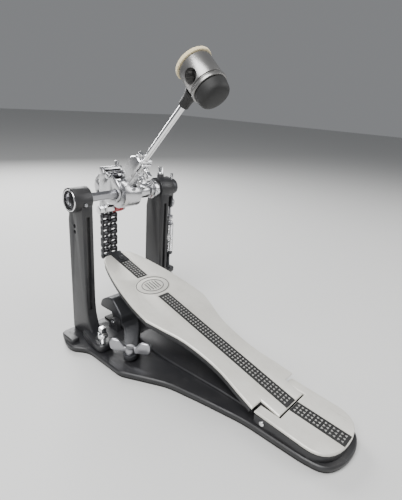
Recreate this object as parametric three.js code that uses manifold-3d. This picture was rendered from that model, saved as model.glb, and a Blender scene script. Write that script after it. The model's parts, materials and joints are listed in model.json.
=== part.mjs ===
// Bass drum pedal: single beater, double chain drive, full base plate and hoop clamp.
// Millimetres. +X is the player's right, +Y points to the drum, +Z is up.
// The origin is on the floor, straight under the middle of the axle.
import * as THREE from "three";
import { mergeVertices } from "three/addons/utils/BufferGeometryUtils.js";
import Module from "manifold-3d";

const wasm = await Module();
wasm.setup();

// ---------------------------------------------------------------- driving dimensions
const fit = 0.3; // clearance between two pieces that touch or run on each other
const axleHeight = 174;

// frame
const padThickness = 2;
const plateThickness = 5.7;
const frontEdge = 12;
const baseHalfWidth = 78;
const postInner = 53;
const postOuter = 66;
const postBack = -12.7;
const postFront = 18;
const rightShift = -5; // the right post stands this much closer to the cam
const bossRadius = 13.6;
const ringLength = 6;
const ringRadius = 12.2;
const ringBore = 10.7;
const bearingRadius = 9.5;
const bearingWidth = 6;

// axle
const hexFlats = 9;
const journalRadius = 4;
const axleEnd = 81;

// footboard and heel plate
const heelSlope = THREE.MathUtils.degToRad(3.4);
const hingeLineBehind = 10.4; // the seam between the two boards lies this far behind the hinge pin
const hingeLineZ = 21.7;
const hingePinZ = 13.5;
const hingePinRadius = 2.5;
const boardLength = 281;
const toeReach = 3.778; // the chain's first pin is this much further from the hinge pin than the board is long
const toeRise = 1.31; // and this far off the board's line through the hinge pin
const topThickness = 3.4;
const trayThickness = 6.6;
const tongueHalfWidth = 21.4;
const notchDepth = 19.5;
const notchGap = 1.5;
const stripHalfWidth = 7.8;
const stripThickness = 0.8;
const heelHalfWidth = 33.4;
const heelPlateLength = 56.6;
const baseBehindHeel = 5;

// cam and chain
const camCentreY = 17;
const camCentreZ = 3;
const chainRadius = 17;
const linkAngle = THREE.MathUtils.degToRad(26.45);
const runLinks = 12;
const rowOffset = 6.2;
const plateHeight = 5.8;
const chainPlate = 1.2;
const chainPinRadius = 1.2;
const innerHalfWidth = 3.5;
const flangeThickness = 2.2;
const flangeHalfLength = 26;
const flangeHalfHeight = 19;

// beater
const leanAngle = THREE.MathUtils.degToRad(43);
const rodOffset = 4;
const rodRadius = 3.2;
const headDistance = 171;
const feltRadius = 18.6;
const bodyRadius = 17;
const headHoleRadius = 7;

// spring side
const springX = 80;
const rockerArm = 21;
const springRadius = 6;
const springBottom = 82;
const springTop = 122;
const lugTop = 58;
const lugBottom = 52;

// hoop clamp and floor spurs
const clampPivotY = -20;
const clampPivotZ = 17;
const clampHalfWidth = 27;
const wingX = -56;
const wingY = -82;
const spurX = 67;
const spurY = -46;
const spurRadius = 3.4;

// ---------------------------------------------------------------- derived sizes
const plateTop = padThickness + fit + plateThickness;
const seatZ = plateTop + fit;
const chainPitch = 2 * chainRadius * Math.sin(linkAngle / 2);
const runTopY = camCentreY + chainRadius;
const runTopZ = axleHeight + camCentreZ;
const toePinZ = runTopZ - runLinks * chainPitch;
const toeDistance = boardLength + toeReach;
const boardAngle = Math.asin((toePinZ - hingePinZ) / toeDistance) - Math.asin(toeRise / toeDistance);
const hingePinY = runTopY - Math.sqrt(toeDistance ** 2 - (toePinZ - hingePinZ) ** 2);
const hingeLineY = hingePinY - hingeLineBehind;
const heelPlateEnd = hingeLineY - heelPlateLength;
const heelEnd = heelPlateEnd - baseBehindHeel;
const hubRadius = 17;
const outerPlateOffset = innerHalfWidth + 0.4;
const chainHalfWidth = rowOffset + outerPlateOffset + chainPlate;
const flangeInner = chainHalfWidth + 0.8;
const flangeOuter = flangeInner + flangeThickness;
const hubHalfWidth = flangeInner - fit;
const bossEnd = postOuter + 7.6;

// ---------------------------------------------------------------- materials
const paint = (color, roughness, metalness) =>
  new THREE.MeshStandardMaterial({ color, roughness, metalness });
const blackPaint = paint(0x1d1d1f, 0.45, 0.3);
const darkCasting = paint(0x2b2c2e, 0.5, 0.5);
const silverPaint = paint(0xc9c7c0, 0.35, 0.6);
const castAluminium = paint(0xbfc0c2, 0.3, 0.9);
const chrome = paint(0xd8d9dc, 0.12, 1.0);
const steel = paint(0x9a9ca0, 0.3, 0.9);
const chainBlack = paint(0x19191b, 0.4, 0.8);
const rubber = paint(0x111112, 0.9, 0.0);
const felt = paint(0xe2cf9f, 1.0, 0.0);
const beaterGrey = paint(0x3a3b3e, 0.4, 0.3);
const redPlastic = paint(0xa03038, 0.4, 0.0);

// ---------------------------------------------------------------- solids and booleans
// A closed three.js geometry as a manifold solid.
function toSolid(geometry) {
  const bare = geometry.index ? geometry.toNonIndexed() : geometry.clone();
  bare.deleteAttribute("normal");
  bare.deleteAttribute("uv");
  const merged = mergeVertices(bare, 1e-4);
  return new wasm.Manifold(
    new wasm.Mesh({
      numProp: 3,
      vertProperties: merged.attributes.position.array,
      triVerts: new Uint32Array(merged.index.array),
    }),
  );
}

// A manifold solid as a three.js geometry.
function toGeometry(body) {
  const mesh = body.getMesh();
  const geometry = new THREE.BufferGeometry();
  geometry.setAttribute("position", new THREE.BufferAttribute(new Float32Array(mesh.vertProperties), 3));
  geometry.setIndex(new THREE.BufferAttribute(new Uint32Array(mesh.triVerts), 1));
  geometry.computeVertexNormals();
  return geometry;
}

const join = (...pieces) => toGeometry(pieces.map(toSolid).reduce((a, b) => a.add(b)));
const cut = (base, ...tools) =>
  toGeometry(tools.map(toSolid).reduce((a, b) => a.subtract(b), toSolid(base)));

// ---------------------------------------------------------------- shape helpers
const alongX = new THREE.Matrix4().makeBasis(
  new THREE.Vector3(0, 1, 0),
  new THREE.Vector3(0, 0, 1),
  new THREE.Vector3(1, 0, 0),
);

// A polygon whose corners are rounded by the third number of each point, as far as its sides allow.
function roundedShape(corners) {
  const shape = new THREE.Shape();
  corners.forEach(([x, y, wanted = 0], i) => {
    const corner = new THREE.Vector2(x, y);
    const back = new THREE.Vector2(...corners.at(i - 1).slice(0, 2)).sub(corner);
    const on = new THREE.Vector2(...corners[(i + 1) % corners.length].slice(0, 2)).sub(corner);
    const r = Math.min(wanted, 0.48 * back.length(), 0.48 * on.length());
    const before = back.setLength(r).add(corner);
    const after = on.setLength(r).add(corner);
    if (i === 0) shape.moveTo(before.x, before.y);
    else shape.lineTo(before.x, before.y);
    if (r > 0) shape.quadraticCurveTo(x, y, after.x, after.y);
  });
  shape.closePath();
  return shape;
}

// A mirrored polygon from the corners of its +X half, listed from front to back.
const mirroredShape = (half) => {
  const left = half.filter(([x]) => x > 0).map(([x, y, r]) => [-x, y, r]);
  return roundedShape([...half, ...left.reverse()].reverse());
};

// A flat plate between two heights, its edge bevelled inside the outline.
function plate(shape, low, high, bevel = 0, curveSegments = 4) {
  const geometry = new THREE.ExtrudeGeometry(shape, {
    depth: high - low - 2 * bevel,
    bevelEnabled: bevel > 0,
    bevelThickness: bevel,
    bevelSize: bevel,
    bevelOffset: -bevel,
    bevelSegments: 1,
    curveSegments,
  });
  return geometry.translate(0, 0, low + bevel);
}

// A plate whose outline lies in Y and Z and whose thickness runs from x0 to x1.
const sidePlate = (shape, x0, x1, bevel, curveSegments) =>
  plate(shape, Math.min(x0, x1), Math.max(x0, x1), bevel, curveSegments).applyMatrix4(alongX);

// A cylinder between two points, tapered if a second radius is given.
function rod(radius, from, to, sides = 20, endRadius = radius) {
  const a = new THREE.Vector3(...from);
  const b = new THREE.Vector3(...to);
  const length = a.distanceTo(b);
  const geometry = new THREE.CylinderGeometry(endRadius, radius, length, sides);
  const turn = new THREE.Quaternion().setFromUnitVectors(
    new THREE.Vector3(0, 1, 0),
    b.clone().sub(a).normalize(),
  );
  return geometry.applyQuaternion(turn).translate(...a.add(b).multiplyScalar(0.5).toArray());
}

const box = (x0, x1, y0, y1, z0, z1) =>
  new THREE.BoxGeometry(x1 - x0, y1 - y0, z1 - z0).translate((x0 + x1) / 2, (y0 + y1) / 2, (z0 + z1) / 2);

// A turned piece about +Z from [radius, height] pairs that start and end on the axis.
function turned(profile, sides = 24) {
  const points = profile.map(([r, z]) => new THREE.Vector2(r, z));
  return new THREE.LatheGeometry(points, sides).rotateX(Math.PI / 2);
}

// A straight tube along X.
const tubeX = (outer, inner, x0, x1, sides = 28) =>
  cut(rod(outer, [x0, 0, 0], [x1, 0, 0], sides), rod(inner, [2 * x0 - x1, 0, 0], [2 * x1 - x0, 0, 0], sides));

const circle = (y, z, r) => new THREE.Shape().absarc(y, z, r, 0, 2 * Math.PI);

// ---------------------------------------------------------------- scene graph
const pedal = new THREE.Group();

function group(parent, y, z, tilt = 0) {
  const made = new THREE.Group();
  made.position.set(0, y, z);
  made.rotation.x = tilt;
  parent.add(made);
  return made;
}

function add(parent, name, geometry, material) {
  const mesh = new THREE.Mesh(geometry, material);
  mesh.name = name;
  parent.add(mesh);
  return mesh;
}

const shaft = group(pedal, 0, axleHeight);
const beater = group(shaft, 0, 0, leanAngle);
const head = group(beater, rodOffset, headDistance);
const board = group(pedal, hingePinY, hingePinZ, boardAngle);
const heel = group(pedal, hingePinY, hingePinZ, heelSlope);
// Each side's own pieces hang in two groups, one on the floor plate and one on the axle's line.
const sides = [
  { word: "left", s: -1, shift: 0 },
  { word: "right", s: 1, shift: rightShift },
].map((side) => ({ ...side, stand: group(pedal, 0, 0), line: group(shaft, 0, 0) }));
for (const { shift, stand, line } of sides) {
  stand.position.x = shift;
  line.position.x = shift;
}
const right = sides[1];

// Where a point of the side view lies in a group that is tilted about the hinge pin.
function inTilted(tilt, y, z) {
  const dy = y - hingePinY;
  const dz = z - hingePinZ;
  return [dy * Math.cos(tilt) + dz * Math.sin(tilt), dz * Math.cos(tilt) - dy * Math.sin(tilt)];
}
const [boardStart, boardTop] = inTilted(boardAngle, hingeLineY, hingeLineZ);
const [heelStart, heelTop] = inTilted(heelSlope, hingeLineY, hingeLineZ);
const [toePinU, toePinW] = inTilted(boardAngle, runTopY, toePinZ);

// ---------------------------------------------------------------- base plate and pad
const footX = baseHalfWidth + 13;
const footFront = postFront;
const spurHole = (s, radius) => rod(radius, [s * spurX, spurY, -1], [s * spurX, spurY, plateTop + 40], 16);
const spurHoles = (radius) => sides.map(({ s, shift }) => spurHole(s, radius).translate(shift, 0, 0));
const postBoltX = (postInner + postOuter) / 2;
const postBoltY = 1;

function baseOutline(inset) {
  const w = inset;
  return mirroredShape([
    [0, frontEdge - w],
    [postInner - 8 + w, frontEdge - w, 3],
    [postInner - 5 + w, footFront - w, 3],
    [footX - 9 - w, footFront - w, 6],
    [footX - w, -6, 5],
    [footX - w, -19 + w, 5],
    [baseHalfWidth + 1 - w, -34, 8],
    [baseHalfWidth - w, -91, 5],
    [53 - w, hingeLineY + 114, 10],
    [44 - w, hingeLineY + 73, 10],
    [36 - w, hingeLineY + 29, 12],
    [34.5 - w, heelEnd + 29, 14],
    [31 - w, heelEnd + 9 + w, 14],
    [12, heelEnd + w, 12],
  ]);
}

function makeBasePlate() {
  const spine = mirroredShape([
    [0, -52],
    [24, -52, 6],
    [30, -100, 20],
    [24, hingeLineY + 62, 14],
    [24, hingeLineY + 26, 3],
    [0, hingeLineY + 26],
  ]);
  const ears = sides.map(({ s }) =>
    sidePlate(
      roundedShape([
        [clampPivotY - 9, plateTop - 1],
        [clampPivotY + 9, plateTop - 1],
        [clampPivotY + 6, clampPivotZ + 6, 6],
        [clampPivotY - 6, clampPivotZ + 6, 6],
      ]),
      s * (clampHalfWidth + 1),
      s * (clampHalfWidth + 7),
    ),
  );
  const wingLugs = sides.map(({ s }) =>
    plate(
      roundedShape([
        [s * (footX - 3), 5, 4],
        [s * (footX - 3), -15, 4],
        [s * (footX - 13), -15, 2],
        [s * (footX - 13), 5, 2],
      ]),
      plateTop - 1,
      plateTop + 5,
      1,
    ),
  );
  const boltHoles = sides.flatMap(({ s, shift }) =>
    [
      rod(3 + fit, [s * postBoltX, postBoltY, -1], [s * postBoltX, postBoltY, plateTop + 1], 12),
      rod(5.6, [s * postBoltX, postBoltY, -1], [s * postBoltX, postBoltY, plateTop - 2.6], 16),
    ].map((hole) => hole.translate(shift, 0, 0)),
  );
  const body = join(
    plate(baseOutline(0), padThickness + fit, plateTop, 1.2),
    plate(spine, plateTop - 1, plateTop + 3.4, 1),
    ...ears,
    ...wingLugs,
  );
  const pivotHole = rod(3 + fit, [-60, clampPivotY, clampPivotZ], [60, clampPivotY, clampPivotZ], 16);
  return cut(body, ...spurHoles(spurRadius + fit), ...boltHoles, pivotHole);
}
add(pedal, "base_plate", makeBasePlate(), blackPaint);
add(
  pedal,
  "floor_pad",
  cut(
    plate(baseOutline(1.6), 0, padThickness),
    ...spurHoles(6),
    ...sides.map(({ s, shift }) =>
      rod(6.5, [s * postBoltX + shift, postBoltY, -1], [s * postBoltX + shift, postBoltY, padThickness + 1], 16),
    ),
  ),
  rubber,
);

// ---------------------------------------------------------------- posts, bearings and end rings
const housingTop = bossRadius + 4;

function makePost(s) {
  const side = new THREE.Shape();
  side.moveTo(postBack - 20, seatZ);
  side.bezierCurveTo(postBack - 7, seatZ + 8, postBack, seatZ + 22, postBack, seatZ + 48);
  side.lineTo(postBack, axleHeight - 6);
  side.lineTo(postBack + 6, axleHeight + 6);
  side.lineTo(postFront - 6, axleHeight);
  side.lineTo(postFront, axleHeight - 26);
  side.lineTo(postFront, seatZ);
  side.closePath();
  const foot = roundedShape([
    [s * (postOuter + 9), spurY - 8, 8],
    [s * (postOuter - 9), spurY - 8, 8],
    [s * postInner, spurY + 14, 4],
    [s * postInner, -10],
    [s * (postOuter + 4), -10],
    [s * (postOuter + 9), spurY + 14, 6],
  ]);
  const outerFace = s * postOuter;
  const screwLug = rod(4.4, [61, 0, axleHeight + bossRadius - 2], [61, 0, axleHeight + housingTop], 12);
  const body = join(
    sidePlate(side, s * postInner, outerFace, 1),
    rod(bossRadius, [s * postInner, 0, axleHeight], [s * bossEnd, 0, axleHeight], 32),
    plate(foot, seatZ, seatZ + 9, 1.2),
    ...(s > 0 ? [screwLug, makeSpringLug()] : []),
  );
  const groove = box(
    Math.min(s * 57.4, s * 61.6),
    Math.max(s * 57.4, s * 61.6),
    postBack - 5,
    postBack + 2.6,
    seatZ + 34,
    axleHeight - 18,
  );
  const dimples = [31, 38].map((drop) =>
    rod(2.3, [s * (postOuter - 4), 5, axleHeight - drop], [s * (postOuter + 4), 5, axleHeight - drop], 14),
  );
  const bearingSeat = rod(
    bearingRadius + fit,
    [s * (postOuter - 8), 0, axleHeight],
    [s * (bossEnd + 1), 0, axleHeight],
    32,
  );
  const ringSeat = rod(
    ringRadius + fit,
    [s * (bossEnd - ringLength), 0, axleHeight],
    [s * (bossEnd + 1), 0, axleHeight],
    28,
  );
  const axleHole = rod(7, [s * (postInner - 1), 0, axleHeight], [s * bossEnd, 0, axleHeight], 24);
  const screwHole =
    s > 0
      ? rod(2 + fit, [61, 0, axleHeight + 6], [61, 0, axleHeight + housingTop + 1], 12)
      : rod(2 + fit, [-62, -6, axleHeight - 4], [-62, -30, axleHeight - 4], 12);
  const boltHole = rod(3 + fit, [s * postBoltX, postBoltY, 0], [s * postBoltX, postBoltY, seatZ + 22], 12);
  return cut(
    body,
    groove,
    ...dimples,
    bearingSeat,
    ringSeat,
    axleHole,
    screwHole,
    boltHole,
    spurHole(s, spurRadius + fit),
  );
}

// The lug on the outer face of the right post that the tension rod hangs in.
function makeSpringLug() {
  const lug = roundedShape([
    [postOuter - 2, -8],
    [springX + 8, -8, 7],
    [springX + 8, 8, 7],
    [postOuter - 2, 8],
  ]);
  const hole = rod(3.6, [springX, 0, lugBottom - 1], [springX, 0, lugTop + 1], 16);
  return cut(plate(lug, lugBottom, lugTop, 0.8), hole);
}

for (const { word, s, stand, line } of sides) {
  add(stand, `${word}_post`, makePost(s), blackPaint);
  const seat = postOuter - 8 + fit;
  const outerRing = tubeX(bearingRadius, bearingRadius - 2.2, s * seat, s * (seat + bearingWidth), 28);
  const innerRing = tubeX(journalRadius + 2, journalRadius + 0.15, s * seat, s * (seat + bearingWidth), 24);
  const shield = tubeX(
    bearingRadius - 2,
    journalRadius + 2 + fit,
    s * (seat + bearingWidth - 1.2),
    s * (seat + bearingWidth - 0.6),
    24,
  );
  add(line, `${word}_bearing_outer`, join(outerRing, shield), steel);
  add(line, `${word}_bearing_inner`, innerRing, steel);
  const endRing = tubeX(ringRadius, ringBore, s * (bossEnd - ringLength + fit), s * (bossEnd + 0.8), 28);
  add(line, `${word}_end_ring`, endRing, chrome);
  const bolt = join(
    rod(3, [s * postBoltX, postBoltY, padThickness + 2], [s * postBoltX, postBoltY, seatZ + 20], 12),
    rod(5, [s * postBoltX, postBoltY, padThickness + fit], [s * postBoltX, postBoltY, plateTop - 2.6 - fit], 6),
  );
  add(stand, `${word}_post_bolt`, bolt, steel);
}

// The screws that lock each bearing: a small grub screw on the left, a square-head bolt on the right.
add(
  shaft,
  "left_bearing_screw",
  rod(2, [-62, -bearingRadius - 0.7, -4], [-62, -bossRadius - 0.9, -4], 12),
  steel,
);
add(
  right.line,
  "right_bearing_bolt",
  join(
    rod(2, [61, 0, bearingRadius + 0.7], [61, 0, housingTop + 2], 12),
    rod(4.2, [61, 0, housingTop + fit], [61, 0, housingTop + 2.6], 20, 3.6),
    box(59, 63, -2, 2, housingTop + 2, housingTop + 9),
  ),
  chrome,
);

// ---------------------------------------------------------------- axle, hub and cam
function makeAxle() {
  const hexRadius = hexFlats / Math.sqrt(3);
  return join(
    rod(hexRadius, [-postInner + 1, 0, 0], [postInner - 1 + rightShift, 0, 0], 6),
    rod(journalRadius, [-postOuter + 1, 0, 0], [-postInner + 1.2, 0, 0], 20),
    rod(journalRadius, [postInner - 1.2 + rightShift, 0, 0], [axleEnd, 0, 0], 20),
  );
}
add(shaft, "hex_axle", makeAxle(), steel);

const hexBore = (x0, x1) => rod(hexFlats / Math.sqrt(3) + fit, [x0, 0, 0], [x1, 0, 0], 6);
const blockLow = 31;
const blockHigh = 57;
const blockBack = -1;
const blockFront = 17;
const blockHalfWidth = 9.5;
const neckHalfWidth = 6.5;
const capThickness = 2.6;
const capLow = 41;
const grubHeight = 36;
const clampHeight = 48;
const setBoltX = 8;
const setBoltZ = 24;
const setBoltSeat = -3;
const topBoltX = -rodRadius - 2.2;
const topBoltY = rodOffset + rodRadius + 1.2;

// The hub and the block above it that holds the beater rod, in the beater's tilted frame.
function makeHub() {
  const block = roundedShape([
    [blockBack, blockLow, 3],
    [blockFront - 3, blockLow - 4, 4],
    [blockFront, blockHigh - 9, 4],
    [blockFront - 8, blockHigh, 4],
    [blockBack, blockHigh, 4],
  ]);
  const neck = roundedShape([
    [blockBack, 10],
    [blockFront - 4, 10],
    [blockFront - 4, blockLow + 4],
    [blockBack, blockLow + 4],
  ]);
  const body = join(
    rod(hubRadius, [-hubHalfWidth, 0, 0], [hubHalfWidth, 0, 0], 30),
    sidePlate(block, -blockHalfWidth, blockHalfWidth, 1.2),
    sidePlate(neck, -neckHalfWidth, neckHalfWidth),
    rod(7, [setBoltX, rodOffset, setBoltZ], [setBoltX, setBoltSeat, setBoltZ], 18),
    rod(3.6, [topBoltX, topBoltY, blockHigh - 6], [topBoltX, topBoltY, blockHigh + 1.2], 12),
  );
  const rodBore = rod(rodRadius + fit, [0, rodOffset, 11], [0, rodOffset, blockHigh + 5], 20);
  const screwBores = [grubHeight, clampHeight].map((z) =>
    rod(2.5 + fit, [0, blockBack - 1, z], [0, rodOffset, z], 12),
  );
  const setBoltBore = rod(3 + fit, [setBoltX, setBoltSeat - 1, setBoltZ], [setBoltX, rodOffset - 1, setBoltZ], 12);
  const topBoltBore = rod(2 + fit, [topBoltX, topBoltY, blockHigh - 8], [topBoltX, topBoltY, blockHigh + 4], 12);
  return cut(body, hexBore(-20, 20).rotateX(-leanAngle), rodBore, ...screwBores, setBoltBore, topBoltBore);
}
add(beater, "beater_hub", makeHub(), castAluminium);

function makeClampCap() {
  const cap = sidePlate(
    roundedShape([
      [blockBack - fit - capThickness, capLow, 1.6],
      [blockBack - fit, capLow],
      [blockBack - fit, blockHigh - 2],
      [blockBack - fit - capThickness, blockHigh - 2, 1.6],
    ]),
    -7,
    7,
    0.8,
  );
  return cut(cap, rod(2.5 + fit, [0, blockBack - 8, clampHeight], [0, blockBack + 1, clampHeight], 12));
}
add(beater, "rod_clamp_cap", makeClampCap(), castAluminium);

// A drum-key bolt along -Y from a seat: shank, flange, then a square head on a neck of the given length.
function keyBolt({ x, z, seatY, tipY, shank, flange, neck }) {
  const headY = seatY - fit - neck;
  return join(
    rod(shank, [x, seatY - 1, z], [x, tipY, z], 12),
    rod(flange, [x, seatY - fit, z], [x, seatY - fit - 2.4, z], 20),
    rod(shank, [x, seatY - 1, z], [x, headY - 1, z], 12),
    box(x - shank, x + shank, headY - 6.4, headY, z - shank, z + shank),
  );
}
const clampSeat = blockBack - fit - capThickness;
const screwTip = rodOffset - rodRadius - 2 * fit;
add(
  beater,
  "rod_clamp_bolt_1",
  keyBolt({ x: 0, z: clampHeight, seatY: clampSeat, tipY: screwTip, shank: 2.5, flange: 4.2, neck: 4 }),
  chrome,
);
add(
  beater,
  "rod_clamp_bolt_2",
  rod(2.5, [0, blockBack - 1.4, grubHeight], [0, screwTip, grubHeight], 12),
  steel,
);
add(
  beater,
  "hub_set_bolt",
  keyBolt({ x: setBoltX, z: setBoltZ, seatY: setBoltSeat, tipY: 2, shank: 3, flange: 6.4, neck: 2.6 }),
  chrome,
);
add(
  beater,
  "hub_top_bolt",
  join(
    rod(2, [topBoltX, topBoltY, blockHigh - 7], [topBoltX, topBoltY, blockHigh + 3], 12),
    rod(3.3, [topBoltX, topBoltY, blockHigh + 1.2 + fit], [topBoltX, topBoltY, blockHigh + 4.6], 6),
  ),
  chrome,
);

// The flange: an ellipse about the cam centre with a tail below that carries the guide bar.
const guideY = 25;
const guideZ = -24;
const guideStart = -21;
const guardY = 28;
const guardZ = 24.2;
const guardPostX = 9;
const camBossEnd = 31;
function makeCam() {
  const outline = new THREE.Shape();
  outline.absellipse(camCentreY, camCentreZ, flangeHalfLength, flangeHalfHeight, 0, 2 * Math.PI);
  const tail = roundedShape([
    [guideY - 9, -8],
    [guideY - 5, guideZ - 5, 4],
    [guideY + 5, guideZ - 5, 4],
    [guideY + 9, -4],
  ]);
  const flanges = sides.flatMap(({ s }) => [
    sidePlate(outline, s * flangeInner, s * flangeOuter, 0.6, 20),
    sidePlate(tail, s * flangeInner, s * flangeOuter),
  ]);
  const core = rod(10.5, [-flangeInner - 1, camCentreY, camCentreZ], [flangeInner + 1, camCentreY, camCentreZ], 28);
  const crescent = cut(core, rod(hubRadius + fit, [-30, 0, 0], [30, 0, 0], 36));
  const guardEar = linkShape([camCentreY + 8, camCentreZ + 12], [guardY, guardZ]);
  const guard = [
    ...sides.map(({ s }) => sidePlate(guardEar, s * flangeInner, s * flangeOuter)),
    rod(3.1, [-flangeOuter - 0.5, guardY, guardZ], [flangeOuter + 0.5, guardY, guardZ], 18),
    rod(2.8, [guardPostX, guardY, guardZ], [guardPostX, guardY, guardZ + 9], 10),
  ];
  const boss = rod(9.5, [flangeOuter - 1, 0, 0], [camBossEnd, 0, 0], 28);
  const pinHoles = [
    rod(2 + fit, [-30, anchorY, anchorZ], [30, anchorY, anchorZ], 14),
    rod(2 + fit, [-30, guideY, guideZ], [30, guideY, guideZ], 14),
    rod(6.4, [-30, 0, 0], [40, 0, 0], 24),
  ];
  const lightening = [20, -20].map((turn) => {
    const angle = THREE.MathUtils.degToRad(turn);
    const y = camCentreY + 18 * Math.cos(angle);
    const z = camCentreZ + 18 * Math.sin(angle);
    return rod(2.6, [-30, y, z], [-flangeInner + 0.2, y, z], 14);
  });
  return cut(join(crescent, ...flanges, ...guard, boss), ...pinHoles, ...lightening);
}

// Chain pins lie on the pitch circle about the cam centre: pin 0 is where the straight run leaves it.
const pinOnCam = (k) => [
  camCentreY + chainRadius * Math.cos(k * linkAngle),
  camCentreZ + chainRadius * Math.sin(k * linkAngle),
];
const [anchorY, anchorZ] = pinOnCam(4);
add(shaft, "drive_cam", makeCam(), castAluminium);
add(
  shaft,
  "chain_anchor_pin",
  join(
    rod(2, [-flangeOuter - 1, anchorY, anchorZ], [flangeOuter + 1, anchorY, anchorZ], 14),
    rod(3.4, [-flangeOuter - fit, anchorY, anchorZ], [-flangeOuter - 3, anchorY, anchorZ], 16),
    rod(3.4, [flangeOuter + fit, anchorY, anchorZ], [flangeOuter + 3, anchorY, anchorZ], 16),
  ),
  chrome,
);
add(
  shaft,
  "chain_guide_bar",
  join(
    rod(2, [-flangeOuter - 1, guideY, guideZ], [flangeOuter + 1, guideY, guideZ], 14),
    rod(5.4, [-flangeInner + fit, guideY, guideZ], [-0.6, guideY, guideZ], 6),
    rod(5.4, [-flangeOuter - fit, guideY, guideZ], [guideStart, guideY, guideZ], 6),
    rod(3.6, [flangeOuter + fit, guideY, guideZ], [flangeOuter + 3, guideY, guideZ], 6),
  ),
  chrome,
);
add(shaft, "cam_insert", tubeX(6, 2 + fit, 0, flangeInner - fit, 12).translate(0, guideY, guideZ), redPlastic);

// ---------------------------------------------------------------- chain
// A link plate's outline between two pins of the side view.
function linkShape([y0, z0], [y1, z1]) {
  const angle = Math.atan2(z1 - z0, y1 - y0);
  const r = plateHeight / 2;
  const shape = new THREE.Shape();
  shape.absarc(y1, z1, r, angle - Math.PI / 2, angle + Math.PI / 2);
  shape.absarc(y0, z0, r, angle + Math.PI / 2, angle + 1.5 * Math.PI);
  return shape;
}

// The plates of one link: a pair outside each row, or one block inside each row.
function linkPlates(from, to, kind) {
  const spans =
    kind === "outer"
      ? [
          [outerPlateOffset, outerPlateOffset + chainPlate],
          [-outerPlateOffset - chainPlate, -outerPlateOffset],
        ]
      : [[-innerHalfWidth, innerHalfWidth]];
  return sides.flatMap(({ s }) =>
    spans.map(([a, b]) => sidePlate(linkShape(from, to), s * rowOffset + a, s * rowOffset + b, 0, 3)),
  );
}
const chainPin = ([y, z], radius = chainPinRadius, half = chainHalfWidth + 0.4) =>
  rod(radius, [-half, y, z], [half, y, z], 6);

function makeRun() {
  const pins = Array.from({ length: runLinks + 1 }, (_, k) => [
    camCentreY + chainRadius,
    camCentreZ - (runLinks - k) * chainPitch,
  ]);
  const links = pins
    .slice(1)
    .flatMap((pin, k) => linkPlates(pins[k], pin, k % 2 === 0 ? "outer" : "inner"));
  const body = join(...links, ...pins.slice(0, -1).map((pin) => chainPin(pin)));
  return cut(body, chainPin(pins.at(-1), chainPinRadius + fit, 20));
}
add(shaft, "chain_run", makeRun(), chainBlack);
add(
  shaft,
  "chain_link_1",
  join(...linkPlates(pinOnCam(0), pinOnCam(1), "outer"), chainPin(pinOnCam(0)), chainPin(pinOnCam(1))),
  chainBlack,
);

function makeSecondLink() {
  const from = pinOnCam(1);
  const to = pinOnCam(2);
  const middle = [(from[0] + to[0]) / 2, (from[1] + to[1]) / 2];
  const bridge = (chainPitch - plateHeight) / 2 - 2 * fit;
  const body = join(...linkPlates(from, to, "inner"), chainPin(middle, bridge, rowOffset));
  return cut(body, chainPin(from, chainPinRadius + fit, 20), chainPin(to, chainPinRadius + fit, 20));
}
add(shaft, "chain_link_2", makeSecondLink(), chainBlack);
add(
  shaft,
  "chain_wrap",
  cut(
    join(
      ...linkPlates(pinOnCam(2), pinOnCam(3), "outer"),
      ...linkPlates(pinOnCam(3), pinOnCam(4), "inner"),
      chainPin(pinOnCam(3)),
    ),
    chainPin(pinOnCam(4), 2 + fit, 20),
  ),
  chainBlack,
);

// ---------------------------------------------------------------- collar and rocker on the right of the axle
const collarX = 38.5;
const collarWidth = 8;
add(
  shaft,
  "shaft_collar",
  cut(
    join(rod(11.6, [collarX, 0, 0], [collarX + collarWidth, 0, 0], 32), rod(8, [collarX - 3, 0, 0], [collarX, 0, 0], 24)),
    hexBore(collarX - 5, collarX + collarWidth + 5),
    rod(2 + fit, [collarX + 4, 0, 0], [collarX + 4, -14, 0], 12),
  ),
  castAluminium,
);
add(shaft, "collar_screw", rod(2, [collarX + 4, -hexFlats / 2 - 1.4, 0], [collarX + 4, -13, 0], 12), chrome);

const rockerX = bossEnd + 1.8;
const rockerThickness = 2.6;
function makeRocker() {
  const arm = roundedShape([
    [-9, 4, 6],
    [-6.5, -rockerArm - 6, 6],
    [6.5, -rockerArm - 6, 6],
    [9, 4, 6],
  ]);
  const pinStart = rockerX + rockerThickness - 1;
  const body = join(
    sidePlate(arm, rockerX, rockerX + rockerThickness),
    rod(10, [rockerX, 0, 0], [rockerX + 8, 0, 0], 28),
    rod(2.5, [pinStart, 0, -rockerArm], [springX + 4.4, 0, -rockerArm], 16),
    rod(4, [springX + 2.2, 0, -rockerArm], [springX + 4.4, 0, -rockerArm], 20),
  );
  return cut(
    body,
    rod(journalRadius + fit, [rockerX - 1, 0, 0], [rockerX + 10, 0, 0], 20),
    rod(2 + fit, [rockerX + 5.6, 0, 0], [rockerX + 5.6, 0, 12], 12),
  );
}
add(right.line, "spring_rocker", makeRocker(), darkCasting);
add(
  right.line,
  "rocker_bolt",
  join(
    rod(2, [rockerX + 5.6, 0, journalRadius + 0.6], [rockerX + 5.6, 0, 12], 12),
    rod(2.6, [rockerX + 5.6, 0, 10 + fit], [rockerX + 5.6, 0, 17], 4),
  ),
  chrome,
);

// ---------------------------------------------------------------- spring, swivel and tension rod
const rockerPinZ = axleHeight - rockerArm;
add(
  right.stand,
  "spring",
  cut(
    rod(springRadius, [springX, 0, springBottom], [springX, 0, springTop], 20),
    rod(springRadius - 1.8, [springX, 0, springBottom - 1], [springX, 0, springTop + 1], 20),
  ),
  chrome,
);

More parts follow.
